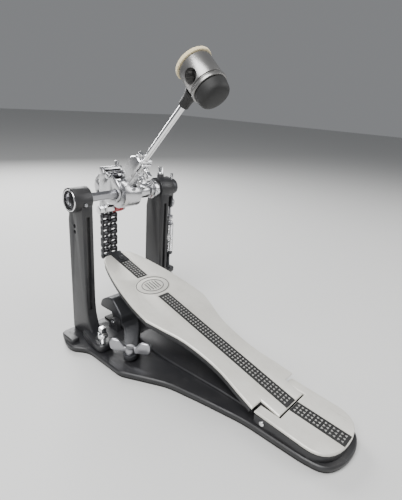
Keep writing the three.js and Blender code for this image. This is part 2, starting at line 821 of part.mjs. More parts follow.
const eyeInner = 4;
const eyeDrop = eyeInner - 2.5 - fit;
function makeSwivel() {
  const eyeZ = rockerPinZ - eyeDrop;
  const eye = cut(
    sidePlate(circle(0, eyeZ, eyeInner + 2.6), springX - 1.5, springX + 1.5, 0, 10),
    sidePlate(circle(0, eyeZ, eyeInner), springX - 3, springX + 3, 0, 10),
  );
  return join(
    eye,
    rod(1.9, [springX, 0, springTop + 4], [springX, 0, eyeZ - eyeInner - 1], 14),
    rod(4.6, [springX, 0, springTop + 8], [springX, 0, springTop + 12], 18),
    rod(springRadius - 0.4, [springX, 0, springTop + fit], [springX, 0, springTop + 5], 20, 3.4),
    rod(springRadius - 1.8 - fit, [springX, 0, springTop - 7], [springX, 0, springTop + 1], 18),
  );
}
add(right.stand, "spring_swivel", makeSwivel(), steel);
add(
  right.stand,
  "tension_rod",
  join(
    rod(2.5, [springX, 0, lugBottom - 14], [springX, 0, springBottom - 2], 14),
    rod(springRadius, [springX, 0, springBottom - fit - 3.4], [springX, 0, springBottom - fit], 20),
    rod(springRadius - 1.8 - fit, [springX, 0, springBottom - 1], [springX, 0, springBottom + 7], 18),
  ),
  steel,
);

// The nut has a coned face, so that the rod can rock in the lug.
const nutRadius = 6.6;
add(
  right.stand,
  "tension_nut",
  cut(
    join(
      rod(nutRadius, [springX, 0, lugBottom - 9], [springX, 0, lugBottom - 2.2], 12),
      rod(nutRadius, [springX, 0, lugBottom - 3], [springX, 0, lugBottom - 0.8], 12, 3.7),
    ),
    rod(2.5 + fit, [springX, 0, lugBottom - 10], [springX, 0, lugBottom], 14),
  ),
  steel,
);

// ---------------------------------------------------------------- beater rod and head
const bootLow = headDistance - 34;
const bodyFront = 15;
const bodyBack = -13;
add(
  beater,
  "beater_rod",
  rod(rodRadius, [0, rodOffset, 21], [0, rodOffset, headDistance - headHoleRadius - 7], 20),
  chrome,
);

function makeBoot() {
  const boot = turned(
    [
      [0, 0],
      [5.4, 0],
      [5.4, 9],
      [7.2, 15],
      [7.2, 16.6],
      [0, 16.6],
    ],
    20,
  ).translate(0, rodOffset, bootLow);
  return cut(boot, rod(rodRadius + fit, [0, rodOffset, bootLow - 1], [0, rodOffset, bootLow + 20], 18));
}
add(beater, "rod_boot", makeBoot(), rubber);

// The head's parts are turned about Y: the felt face looks to +Y, the hard face to -Y.
const faced = (profile, count) => turned(profile, count).rotateX(-Math.PI / 2);
function makeBeaterBody() {
  const shell = faced(
    [
      [0, bodyBack],
      [bodyRadius + 0.8, bodyBack],
      [bodyRadius + 0.8, bodyBack + 3.4],
      [bodyRadius - 1, bodyBack + 3.9],
      [bodyRadius - 1, bodyBack + 5.2],
      [bodyRadius, bodyBack + 5.7],
      [bodyRadius, bodyFront],
      [0, bodyFront],
    ],
    40,
  );
  return cut(
    shell,
    rod(headHoleRadius, [-30, 0, 0], [30, 0, 0], 24),
    rod(rodRadius + fit, [0, 0, -30], [0, 0, -3], 18),
  );
}
add(head, "beater_body", makeBeaterBody(), beaterGrey);
add(
  head,
  "beater_felt",
  faced(
    [
      [0, bodyFront + fit],
      [feltRadius - 0.6, bodyFront + fit],
      [feltRadius, bodyFront + fit + 1.2],
      [feltRadius - 1.2, bodyFront + fit + 4],
      [0, bodyFront + fit + 5.2],
    ],
    36,
  ),
  felt,
);
add(
  head,
  "beater_back",
  faced(
    [
      [0, bodyBack - fit - 13],
      [bodyRadius - 4, bodyBack - fit - 12.4],
      [bodyRadius - 2, bodyBack - fit - 10],
      [bodyRadius - 0.4, bodyBack - fit],
      [0, bodyBack - fit],
    ],
    36,
  ),
  rubber,
);
const nutBase = -Math.sqrt(headHoleRadius ** 2 - 4.4 ** 2) + fit;
add(
  head,
  "head_nut",
  turned(
    [
      [0, nutBase],
      [4.4, nutBase],
      [4.4, nutBase + 2.6],
      [2.6, nutBase + 3.4],
      [0, nutBase + 3.4],
    ],
    6,
  ),
  chrome,
);

// ---------------------------------------------------------------- footboard
const notch = boardStart + notchDepth + notchGap;
const boardEnd = boardStart + boardLength;
const alongBoard = (u) => boardStart + (u / drawnLength) * boardLength;

// Half widths of the footboard at distances from the hinge line: the waist, the sharp bend, the toe.
// They are drawn for one length and stretch with the board.
const drawnLength = 281;
const waistEdge = [
  [36, 20],
  [33.2, 40],
  [29.6, 62],
  [28.8, 85],
  [32, 116],
  [40.5, 142],
  [46.6, 160],
];
const toeEdge = [
  [46.4, 163],
  [45.2, 185],
  [40.5, 215],
  [33, 245],
  [26, 266],
];

// The footboard's outline, drawn in by an inset: one edge, then the same edge mirrored.
function boardOutline(inset) {
  const place = ([w, u]) => new THREE.Vector2(w - inset, alongBoard(u));
  const front = boardEnd - inset;
  const toeStart = place(toeEdge.at(-1));
  const waist = new THREE.SplineCurve(waistEdge.map(place)).getPoints(18);
  const edge = [
    new THREE.Vector2(tongueHalfWidth - inset, boardStart + inset),
    new THREE.Vector2(tongueHalfWidth - inset, notch + inset),
    new THREE.Vector2(waistEdge[0][0] - inset, notch + inset),
    ...waist.filter((point) => point.y > notch + inset + 1),
    ...new THREE.SplineCurve(toeEdge.map(place)).getPoints(12),
    ...new THREE.QuadraticBezierCurve(
      toeStart,
      new THREE.Vector2(toeStart.x - 5, front),
      new THREE.Vector2(13, front),
    )
      .getPoints(6)
      .slice(1),
  ];
  const mirrored = edge.map(({ x, y }) => new THREE.Vector2(-x, y)).reverse();
  return new THREE.Shape([...edge, ...mirrored]);
}

const boardUnder = boardTop - topThickness;
const badgeU = 205;
const badgeGap = 19; // from the badge's middle to the strip on each side
const badgeRadius = 24;
const groove = (from, to, top) =>
  box(-stripHalfWidth - fit, stripHalfWidth + fit, from, to, top - stripThickness - fit, top + 1);
const badgeShape = (grow) => {
  const shape = new THREE.Shape();
  shape.absellipse(0, alongBoard(badgeU), badgeRadius + grow, 16 + grow, 0, 2 * Math.PI);
  return shape;
};
const clipPlateU = boardEnd - 19;
const clipHalfWidth = 7.8;
const clipBoltU = boardEnd - 13;

function makeBoard() {
  const blank = plate(boardOutline(0), boardUnder, boardTop, 0.9);
  return cut(
    blank,
    groove(boardStart - 5, alongBoard(badgeU) - badgeGap, boardTop),
    groove(alongBoard(badgeU) + badgeGap, boardEnd + 5, boardTop),
    plate(badgeShape(fit), boardTop - 0.9, boardTop + 1, 0, 20),
    rod(2.2 + fit, [0, clipBoltU, boardUnder - 1], [0, clipBoltU, boardTop + 1], 14),
  );
}
add(board, "footboard", makeBoard(), silverPaint);
const strip = (from, to, top) =>
  box(-stripHalfWidth, stripHalfWidth, from, to, top - stripThickness, top);
add(
  board,
  "heel_side_strip",
  strip(boardStart + 0.6, alongBoard(badgeU) - badgeGap - fit, boardTop),
  rubber,
);
add(
  board,
  "toe_side_strip",
  strip(alongBoard(badgeU) + badgeGap + fit, clipPlateU - fit, boardTop),
  rubber,
);
add(board, "badge_plate", plate(badgeShape(0), boardTop - 0.6, boardTop, 0, 20), silverPaint);

// The tray under the footboard: a black rim with an open pocket and the hinge barrel.
const trayTop = boardUnder - fit;
const trayLow = trayTop - trayThickness;
function makeTray() {
  const barrel = rod(5, [-tongueHalfWidth + 1.4, 0, 0], [tongueHalfWidth - 1.4, 0, 0], 24);
  const neck = box(-tongueHalfWidth + 1.4, tongueHalfWidth - 1.4, 0, notch + 4, -2.4, trayTop - 0.2);
  const rim = plate(boardOutline(2), trayLow, trayTop, 0.8);
  const pocket = plate(boardOutline(6), trayLow - 1, trayTop - 2.2);
  const ribs = [60, 110, 160, 210].map((u) => box(-25, 25, alongBoard(u), alongBoard(u) + 4, trayLow, trayTop - 1));
  const hollow = cut(rim, cut(pocket, box(-50, 50, boardStart - 9, notch + 8, -20, 20), ...ribs));
  return cut(
    join(hollow, barrel, neck),
    rod(hingePinRadius + fit, [-40, 0, 0], [40, 0, 0], 20),
    rod(2.2 + fit, [0, clipBoltU, trayLow - 9], [0, clipBoltU, trayTop + 1], 14),
    box(-clipHalfWidth - 1, clipHalfWidth + 1, clipPlateU - 6, boardEnd + 5, trayLow - 9, trayTop - 2),
  );
}
add(board, "footboard_tray", makeTray(), blackPaint);

// The toe clip: a plate in the strip's groove, and two tongues round the chain's first pin.
function makeToeClip() {
  const topPlate = box(
    -clipHalfWidth,
    clipHalfWidth,
    clipPlateU,
    boardEnd + 3.4,
    boardTop - stripThickness,
    boardTop + 0.6,
  );
  const front = boardEnd + fit;
  const apron = box(-rowOffset - 2.9, rowOffset + 2.9, front, front + 3.1, toePinW - 2, boardTop + 0.6);
  const tongues = sides.map(({ s }) =>
    join(
      sidePlate(circle(toePinU, toePinW, 3), s * rowOffset - 2.9, s * rowOffset + 2.9, 0, 8),
      box(s * rowOffset - 2.9, s * rowOffset + 2.9, front, toePinU, toePinW - 3, toePinW + 3),
    ),
  );
  return cut(
    join(topPlate, apron, ...tongues),
    rod(chainPinRadius + fit, [-20, toePinU, toePinW], [20, toePinU, toePinW], 14),
    rod(2.2 + fit, [0, clipBoltU, boardUnder - 9], [0, clipBoltU, boardTop + 5], 14),
  );
}
add(board, "toe_clip", makeToeClip(), darkCasting);
add(
  board,
  "toe_clip_bolt",
  join(
    rod(2.2, [0, clipBoltU, trayLow - 1], [0, clipBoltU, boardTop + 1], 12),
    rod(4, [0, clipBoltU, boardTop + 0.6 + fit], [0, clipBoltU, boardTop + 2.6], 18, 3.2),
  ),
  steel,
);

// ---------------------------------------------------------------- heel plate, heel block and hinge pin
const heelWorld = (y) => (y - hingePinY) / Math.cos(heelSlope);
const forkFront = heelStart + notchDepth;
function heelOutline(inset) {
  const w = heelHalfWidth - inset;
  const end = heelWorld(heelPlateEnd) + inset;
  const shape = new THREE.Shape();
  shape.moveTo(tongueHalfWidth + 1.2 + inset, forkFront - inset);
  shape.lineTo(tongueHalfWidth + 1.2 + inset, heelStart - notchGap - inset);
  shape.lineTo(-tongueHalfWidth - 1.2 - inset, heelStart - notchGap - inset);
  shape.lineTo(-tongueHalfWidth - 1.2 - inset, forkFront - inset);
  shape.lineTo(-w, forkFront - inset);
  shape.lineTo(-w, end + 26);
  shape.bezierCurveTo(-w, end + 9, -w + 12, end, 0, end);
  shape.bezierCurveTo(w - 12, end, w, end + 9, w, end + 26);
  shape.lineTo(w, forkFront - inset);
  shape.closePath();
  return shape;
}
const heelStripEnd = heelStart - 56;
add(
  heel,
  "heel_plate",
  cut(
    plate(heelOutline(0), heelTop - topThickness, heelTop, 0.9, 8),
    groove(heelStripEnd - fit, heelStart + 5, heelTop),
  ),
  silverPaint,
);
add(heel, "heel_strip", strip(heelStripEnd, heelStart - notchGap - 0.4, heelTop), rubber);

function makeHeelBlock() {
  const w = heelHalfWidth - 0.5;
  const end = heelPlateEnd + 0.6;
  const front = hingePinY + 9;
  const shape = new THREE.Shape();
  shape.moveTo(w, front);
  shape.lineTo(-w, front);
  shape.lineTo(-w, end + 26);
  shape.bezierCurveTo(-w, end + 9, -w + 12, end, 0, end);
  shape.bezierCurveTo(w - 12, end, w, end + 9, w, end + 26);
  shape.closePath();
  const top = hingeLineZ - topThickness;
  const slope = new THREE.Matrix4().makeRotationX(heelSlope).setPosition(0, hingePinY, hingePinZ);
  const above = box(-60, 60, -120, 60, heelTop - topThickness - fit, heelTop + 30).applyMatrix4(slope);
  const tongueRoom = box(
    -tongueHalfWidth - 1.2,
    tongueHalfWidth + 1.2,
    hingePinY - 12,
    hingePinY + 30,
    0,
    40,
  );
  return cut(
    plate(shape, seatZ, top, 0, 8),
    above,
    tongueRoom,
    rod(hingePinRadius + fit, [-60, hingePinY, hingePinZ], [60, hingePinY, hingePinZ], 20),
  );
}
add(pedal, "heel_block", makeHeelBlock(), blackPaint);
add(
  pedal,
  "hinge_pin",
  rod(hingePinRadius, [-heelHalfWidth - 0.6, hingePinY, hingePinZ], [heelHalfWidth + 0.6, hingePinY, hingePinZ], 16),
  chrome,
);

// ---------------------------------------------------------------- hoop clamp
const jawLow = 12;
const armTop = 16;
function makeJaw() {
  const nose = roundedShape([
    [clampPivotY - 7, jawLow],
    [clampPivotY + 9, jawLow],
    [clampPivotY + 13, 24, 2],
    [frontEdge + 2, 23, 1],
    [frontEdge + 6, 25, 2],
    [frontEdge + 4, 33, 4],
    [6, 40, 6],
    [-8, 44, 6],
    [clampPivotY - 7, 27, 5],
  ]);
  const arm = roundedShape([
    [-clampHalfWidth, clampPivotY - 2],
    [-clampHalfWidth, clampPivotY - 12, 4],
    [wingX - 6, wingY + 2],
    [wingX + 5, wingY - 6],
    [-10, clampPivotY - 22, 8],
    [0, clampPivotY - 2],
  ]);
  const body = join(
    sidePlate(nose, -clampHalfWidth, clampHalfWidth, 1.4),
    plate(arm, jawLow, armTop, 0.8),
    rod(8, [wingX, wingY, jawLow - 1], [wingX, wingY, armTop + 0.6], 24),
  );
  const recess = box(-16, 16, -5, frontEdge + 8, 26, 33);
  return cut(
    body,
    rod(3 + fit, [-60, clampPivotY, clampPivotZ], [60, clampPivotY, clampPivotZ], 16),
    rod(3 + fit, [wingX, wingY, 0], [wingX, wingY, 40], 16),
    recess.translate(0, 14, 4),
  );
}
add(pedal, "clamp_jaw", makeJaw(), darkCasting);
add(
  pedal,
  "clamp_pivot_pin",
  rod(3, [-clampHalfWidth - 8, clampPivotY, clampPivotZ], [clampHalfWidth + 8, clampPivotY, clampPivotZ], 16),
  steel,
);
add(pedal, "hoop_pad", box(-26, 26, clampPivotY + 15, frontEdge - 1.6, seatZ, seatZ + 2), rubber);

function makeWingScrew() {
  const low = armTop + 0.6 + fit;
  const ear = roundedShape([
    [3, 0.6],
    [14, 0.6, 4],
    [23, 1.6, 6],
    [24, 14.6, 8],
    [12, 15, 7],
    [6.6, 7.4, 3],
    [3, 6.6],
  ]);
  const ears = [0, Math.PI].map((turn) =>
    plate(ear, -2.1, 2.1, 0.7)
      .rotateX(Math.PI / 2)
      .rotateZ(turn)
      .translate(0, 0, low),
  );
  const shank = [
    rod(6.4, [0, 0, low], [0, 0, low + 7], 20, 5.2),
    rod(3, [0, 0, seatZ + 1], [0, 0, low + 1], 16),
  ];
  return join(...ears, ...shank)
    .rotateZ(Math.atan2(-0.83, 0.55))
    .translate(wingX, wingY, 0);
}
add(pedal, "wing_screw", makeWingScrew(), steel);

// ---------------------------------------------------------------- floor spurs
for (const { word, s, stand } of sides) {
  const x = s * spurX;
  const spur = join(
    rod(spurRadius, [x, spurY, 4.6], [x, spurY, 30], 16),
    rod(0.6, [x, spurY, 1.6], [x, spurY, 4.8], 16, spurRadius),
    rod(5.8, [x, spurY, 24.5], [x, spurY, 29], 22, 5),
    rod(4.4, [x, spurY, 28.6], [x, spurY, 36.6], 4),
  );
  add(stand, `${word}_spur`, spur, chrome);
}

export default pedal;
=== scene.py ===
"""Bass drum pedal: finishes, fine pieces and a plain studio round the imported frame."""

import json
import math

import bpy
import numpy as np
from bpy.props import FloatProperty, FloatVectorProperty, IntProperty, PointerProperty
from bpy.types import Operator, Panel, PropertyGroup
from mathutils import Matrix, Vector


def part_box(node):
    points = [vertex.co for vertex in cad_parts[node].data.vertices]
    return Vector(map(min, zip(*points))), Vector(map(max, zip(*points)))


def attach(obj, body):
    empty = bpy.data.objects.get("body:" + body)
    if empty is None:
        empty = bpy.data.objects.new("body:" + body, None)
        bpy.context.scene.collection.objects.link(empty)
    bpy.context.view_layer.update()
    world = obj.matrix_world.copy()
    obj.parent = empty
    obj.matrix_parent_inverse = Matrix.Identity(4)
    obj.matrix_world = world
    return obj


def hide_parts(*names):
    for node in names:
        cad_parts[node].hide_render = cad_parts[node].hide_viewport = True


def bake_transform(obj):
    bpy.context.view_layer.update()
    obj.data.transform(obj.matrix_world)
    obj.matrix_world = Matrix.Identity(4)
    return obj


bl_info = {
    "name": "Bass drum pedal",
    "version": (1, 0, 0),
    "blender": (4, 5, 0),
    "location": "3D View > Sidebar > Pedal",
    "description": "Finishes, fine pieces and a studio for a bass drum pedal",
    "category": "Object",
}

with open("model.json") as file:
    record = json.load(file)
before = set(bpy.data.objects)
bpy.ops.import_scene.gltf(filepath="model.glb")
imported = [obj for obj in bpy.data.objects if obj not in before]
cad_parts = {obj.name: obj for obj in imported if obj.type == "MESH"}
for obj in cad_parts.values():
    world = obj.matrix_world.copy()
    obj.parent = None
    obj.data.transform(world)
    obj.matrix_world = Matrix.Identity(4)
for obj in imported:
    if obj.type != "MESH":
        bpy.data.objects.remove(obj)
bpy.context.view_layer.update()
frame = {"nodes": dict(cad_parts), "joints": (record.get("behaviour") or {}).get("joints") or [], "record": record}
MM = 0.001


def middle(node):
    """Middle of a frame node's box, in metres."""
    low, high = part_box(node)
    return (low + high) / 2


def joint_place(name):
    """Where a hinge of the frame turns, in metres."""
    return Vector(next(j["pos_m"] for j in frame["joints"] if j["name"] == name))


# ------------------------------------------------------------------ sizes and colours


def length(name, description, default):
    """A length property in metres, given in millimetres."""
    return FloatProperty(
        name=name,
        description=description,
        default=default * MM,
        min=0.0,
        precision=5,
        unit="LENGTH",
        subtype="DISTANCE",
    )


def tint(name, description, default):
    """A linear colour property."""
    return FloatVectorProperty(
        name=name, description=description, default=default, size=3, min=0.0, max=1.0, subtype="COLOR"
    )


class PedalFinishes(PropertyGroup):
    """Colours of the pedal's finishes."""

    silver_coat: tint("Silver coat", "Footboard and heel plate", (0.76, 0.745, 0.69))
    black_coat: tint("Black coat", "Base, posts, heel block and tray", (0.016, 0.016, 0.018))
    dark_casting: tint("Dark casting", "Hoop clamp, rocker and toe clip", (0.045, 0.046, 0.05))
    felt: tint("Felt", "Beater face", (0.8, 0.68, 0.42))
    beater_shell: tint("Beater shell", "Body of the beater", (0.27, 0.265, 0.26))
    red_insert: tint("Red insert", "Insert beside the cam", (0.42, 0.04, 0.05))


class PedalSizes(PropertyGroup):
    """Sizes of the fine pieces."""

    soft_edge: length("Soft edge", "Width of the rounding along metal edges", 0.35)
    link_thickness: length("Link thickness", "Thickness of a chain side plate", 1.1)
    wire_radius: length("Spring wire radius", "Radius of the return spring's wire", 0.75)
    coils: IntProperty(name="Coils", description="Turns of the return spring", default=24, min=4)
    stud_height: length("Grip stud height", "How far the grip studs stand out of the strips", 0.35)
    stud_pitch: length("Grip stud pitch", "Distance between rows of grip studs", 3.9)


class PedalStage(PropertyGroup):
    """Light and floor of the studio."""

    floor: tint("Floor", "Colour of the floor", (0.62, 0.62, 0.61))
    key_power: FloatProperty(
        name="Key light", description="Power of the large soft light", default=30.0, min=0.0, unit="POWER"
    )


# ------------------------------------------------------------------ surfaces


def quads(rows, columns, closed_rows=False):
    """Quads of a grid whose columns close on themselves; closed_rows also joins the last row to the first."""
    last = rows if closed_rows else rows - 1
    i = np.arange(last)[:, None]
    j = np.arange(columns)[None, :]
    a = i * columns + j
    b = i * columns + (j + 1) % columns
    c = ((i + 1) % rows) * columns + (j + 1) % columns
    d = ((i + 1) % rows) * columns + j
    return np.stack([a, b, c, d], -1).reshape(-1, 4)


def lathe(profile, sides=64, closed=False):
    """Turned surface: radius and height of each profile point carried round Z.

    x = r cos t, y = r sin t, z = h, for t from 0 to a full turn. An open profile gets flat end caps.
    """
    profile = np.asarray(profile, float)
    turn = np.linspace(0, 2 * np.pi, sides, endpoint=False)
    r, h = profile[:, :1], profile[:, 1:]
    points = np.stack([r * np.cos(turn), r * np.sin(turn), np.broadcast_to(h, (len(profile), sides))], -1)
    faces = quads(len(profile), sides, closed).tolist()
    if not closed:
        first = np.arange(sides)[::-1]
        faces += [first.tolist(), (np.arange(sides) + (len(profile) - 1) * sides).tolist()]
    return points.reshape(-1, 3), faces


def swept(path, radius, sides=10):
    """Round wire: a circle carried along a path.

    Each ring lies across the path's tangent, on a normal found by taking the tangent's part out of
    a fixed direction. The two ends are capped.
    """
    path = np.asarray(path, float)
    tangent = np.gradient(path, axis=0)
    tangent /= np.linalg.norm(tangent, axis=1, keepdims=True)
    fixed = np.array([0.0, 0.0, 1.0]) if np.abs(tangent[:, 2]).max() < 0.95 else np.array([1.0, 0.0, 0.0])
    normal = fixed - tangent * (tangent @ fixed)[:, None]
    normal /= np.linalg.norm(normal, axis=1, keepdims=True)
    other = np.cross(tangent, normal)
    turn = np.linspace(0, 2 * np.pi, sides, endpoint=False)
    ring = np.cos(turn)[None, :, None] * normal[:, None] + np.sin(turn)[None, :, None] * other[:, None]
    points = path[:, None] + radius * ring
    faces = quads(len(path), sides).tolist()
    first = np.arange(sides)[::-1]
    faces += [first.tolist(), (np.arange(sides) + (len(path) - 1) * sides).tolist()]
    return points.reshape(-1, 3), faces


def rimmed_plate(outline, x0, x1, edge):
    """Plate with a rounded rim: an outline in Y and Z carried along X.

    The outline is drawn in towards its middle by edge at both faces and is full between them.
    """
    outline = np.asarray(outline, float)
    centre = outline.mean(0)
    away = outline - centre
    reach = np.linalg.norm(away, axis=1, keepdims=True)
    drawn = centre + away * (1 - edge / reach)
    rings = [(drawn, x0), (outline, x0 + edge), (outline, x1 - edge), (drawn, x1)]
    points = np.concatenate([np.column_stack([np.full(len(ring), x), ring]) for ring, x in rings])
    sides = len(outline)
    faces = quads(len(rings), sides).tolist()
    first = np.arange(sides)[::-1]
    faces += [first.tolist(), (np.arange(sides) + (len(rings) - 1) * sides).tolist()]
    return points, faces


def link_outline(start, end, radius, waist, steps=40):
    """Outline of a chain plate between two pins, in Y and Z.

    Along the link the half height is the upper edge of a circle round each pin, and between the
    pins a cosine falls from the radius to the waist and rises again.
    """
    start, end = np.asarray(start, float), np.asarray(end, float)
    half = np.linalg.norm(end - start) / 2
    along = (end - start) / (2 * half)
    across = np.array([-along[1], along[0]])
    turn = np.linspace(0, np.pi, steps // 2)
    s = -(half + radius) * np.cos(turn)
    inside = np.abs(s) < half
    round_end = np.sqrt(np.maximum(radius**2 - (np.abs(s) - half) ** 2, 0))
    hollow = waist + (radius - waist) * (0.5 - 0.5 * np.cos(np.pi * s / half))
    height = np.where(inside, hollow, round_end)
    upper = (start + end) / 2 + s[:, None] * along + height[:, None] * across
    lower = (start + end) / 2 + s[1:-1, None] * along - height[1:-1, None] * across
    return np.concatenate([upper, lower[::-1]])[::-1]


def placed(surface, origin=(0, 0, 0), axis=(0, 0, 1), up=(1, 0, 0)):
    """A surface moved so that its Z lies along axis, its X towards up, and its origin at origin.

    Where up lies along the axis, Y takes its place.
    """
    points, faces = surface
    z = np.asarray(Vector(axis).normalized())
    if abs(np.dot(up, z)) > 0.99:
        up = (0, 1, 0)
    x = np.asarray(up, float) - z * np.dot(up, z)
    x /= np.linalg.norm(x)
    turn = np.column_stack([x, np.cross(z, x), z])
    return points @ turn.T + np.asarray(origin, float), faces


def together(surfaces):
    """Several surfaces as one."""
    points, faces, count = [], [], 0
    for part_points, part_faces in surfaces:
        points.append(part_points)
        faces += [[i + count for i in face] for face in part_faces]
        count += len(part_points)
    return np.concatenate(points), faces


def new_piece(name, surface, body, material, nodes=(), sharp=40.0, unit=MM):
    """A surface in millimetres as an object.

    It rides on a body, if one is named, and stands for the frame's nodes that are listed.
    """
    points, faces = surface
    mesh = bpy.data.meshes.new(name)
    mesh.from_pydata((np.asarray(points) * unit).tolist(), [], faces)
    mesh.polygons.foreach_set("use_smooth", np.ones(len(mesh.polygons), bool))
    mesh.set_sharp_from_angle(angle=math.radians(sharp))
    mesh.update()
    piece = bpy.data.objects.new(name, mesh)
    bpy.context.scene.collection.objects.link(piece)
    mesh.materials.append(material)
    if body:
        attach(piece, body)
    if nodes:
        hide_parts(*nodes)
    return piece


def carve(piece, surface, unit=MM):
    """Cuts a surface's solid out of a piece and keeps the result as plain mesh."""
    points, faces = surface
    mesh = bpy.data.meshes.new("cutter")
    mesh.from_pydata((np.asarray(points) * unit).tolist(), [], faces)
    cutter = bpy.data.objects.new("cutter", mesh)
    bpy.context.scene.collection.objects.link(cutter)
    boolean = piece.modifiers.new("carve", "BOOLEAN")
    boolean.operation = "DIFFERENCE"
    boolean.solver = "EXACT"
    boolean.object = cutter
    evaluated = piece.evaluated_get(bpy.context.evaluated_depsgraph_get())
    result = bpy.data.meshes.new_from_object(evaluated)
    piece.modifiers.remove(boolean)
    old = piece.data
    piece.data = result
    result.set_sharp_from_angle(angle=math.radians(35))
    bpy.data.objects.remove(cutter)
    bpy.data.meshes.remove(mesh)
    bpy.data.meshes.remove(old)


# ------------------------------------------------------------------ shader groups


class Nodes:
    """A short way to put nodes into a tree and join them."""

    def __init__(self, tree):
        self.tree = tree

    def add(self, kind, settings=None, **inputs):
        node = self.tree.nodes.new("ShaderNode" + kind)
        for key, value in (settings or {}).items():
            setattr(node, key, value)
        for key, value in inputs.items():
            socket = node.inputs[key.replace("_", " ")]
            if isinstance(value, bpy.types.NodeSocket):
                self.tree.links.new(value, socket)
            else:
                socket.default_value = value
        return node

    def link(self, output, socket):
        self.tree.links.new(output, socket)


def shader_group(name, inputs, outputs):
    """An empty node group with named sockets, given as (name, kind, default)."""
    group = bpy.data.node_groups.new(name, "ShaderNodeTree")
    for label, kind, default in inputs:
        socket = group.interface.new_socket(label, in_out="INPUT", socket_type="NodeSocket" + kind)
        socket.default_value = default
    for label, kind in outputs:
        group.interface.new_socket(label, in_out="OUTPUT", socket_type="NodeSocket" + kind)
    return group, Nodes(group), group.nodes.new("NodeGroupInput"), group.nodes.new("NodeGroupOutput")


def build_surface_group():
    """Uneven finish: two sizes of noise shade a colour, vary the roughness and raise a fine grain."""
    group, n, given, put = shader_group(
        "uneven_finish",
        [
            ("Colour", "Color", (0.5, 0.5, 0.5, 1)),
            ("Stain", "Color", (0.3, 0.3, 0.3, 1)),
            ("Staining", "Float", 0.2),
            ("Roughness", "Float", 0.4),
            ("Unevenness", "Float", 0.1),
            ("Grain scale", "Float", 1500.0),
        ],
        [("Colour", "Color"), ("Roughness", "Float"), ("Grain", "Float")],
    )
    place = n.add("TexCoord").outputs["Object"]
    cloud = n.add("TexNoise", Vector=place, Scale=22.0, Detail=5.0, Roughness=0.6)
    grain = n.add("TexNoise", Vector=place, Scale=given.outputs["Grain scale"], Detail=2.0)
    patch = n.add("MapRange", Value=cloud.outputs["Fac"], From_Min=0.42, From_Max=0.72)
    amount = n.add("Math", {"operation": "MULTIPLY"})
    n.link(patch.outputs["Result"], amount.inputs[0])
    n.link(given.outputs["Staining"], amount.inputs[1])
    mix = n.add("Mix", {"data_type": "RGBA"})
    n.link(amount.outputs[0], mix.inputs[0])
    n.link(given.outputs["Colour"], mix.inputs[6])
    n.link(given.outputs["Stain"], mix.inputs[7])
    spread = n.add("Math", {"operation": "MULTIPLY_ADD"})
    n.link(patch.outputs["Result"], spread.inputs[0])
    n.link(given.outputs["Unevenness"], spread.inputs[1])
    n.link(given.outputs["Roughness"], spread.inputs[2])
    n.link(mix.outputs[2], put.inputs["Colour"])
    n.link(spread.outputs[0], put.inputs["Roughness"])
    n.link(grain.outputs["Fac"], put.inputs["Grain"])
    return group


def build_scratch_group():
    """Fine scratches: stretched noise, turned two ways, leaves thin lines where it crosses its middle."""
    group, n, given, put = shader_group(
        "fine_scratches", [("Strength", "Float", 0.3), ("Density", "Float", 1.0)], [("Mask", "Float")]
    )
    place = n.add("TexCoord").outputs["Object"]
    masks = []
    for turn, scale in ((0.5, 260.0), (-0.9, 340.0)):
        mapped = n.add("Mapping", Vector=place, Rotation=(0.0, 0.0, turn), Scale=(1.0, 0.045, 1.0))
        noise = n.add("TexNoise", Vector=mapped.outputs[0], Scale=scale, Detail=1.0)
        off = n.add("Math", {"operation": "SUBTRACT"})
        n.link(noise.outputs["Fac"], off.inputs[0])
        off.inputs[1].default_value = 0.5
        size = n.add("Math", {"operation": "ABSOLUTE"})
        n.link(off.outputs[0], size.inputs[0])
        line = n.add("MapRange", Value=size.outputs[0], From_Min=0.0, From_Max=0.012, To_Min=1.0, To_Max=0.0)
        masks.append(line.outputs["Result"])
    where = n.add("TexNoise", Vector=place, Scale=35.0, Detail=3.0)
    kept = n.add("MapRange", Value=where.outputs["Fac"], From_Min=0.5, From_Max=0.68)
    both = n.add("Math", {"operation": "MAXIMUM"})
    n.link(masks[0], both.inputs[0])
    n.link(masks[1], both.inputs[1])
    some = n.add("Math", {"operation": "MULTIPLY"})
    n.link(both.outputs[0], some.inputs[0])
    n.link(kept.outputs["Result"], some.inputs[1])
    last = n.add("Math", {"operation": "MULTIPLY"})
    n.link(some.outputs[0], last.inputs[0])
    n.link(given.outputs["Strength"], last.inputs[1])
    n.link(last.outputs[0], put.inputs["Mask"])
    return group


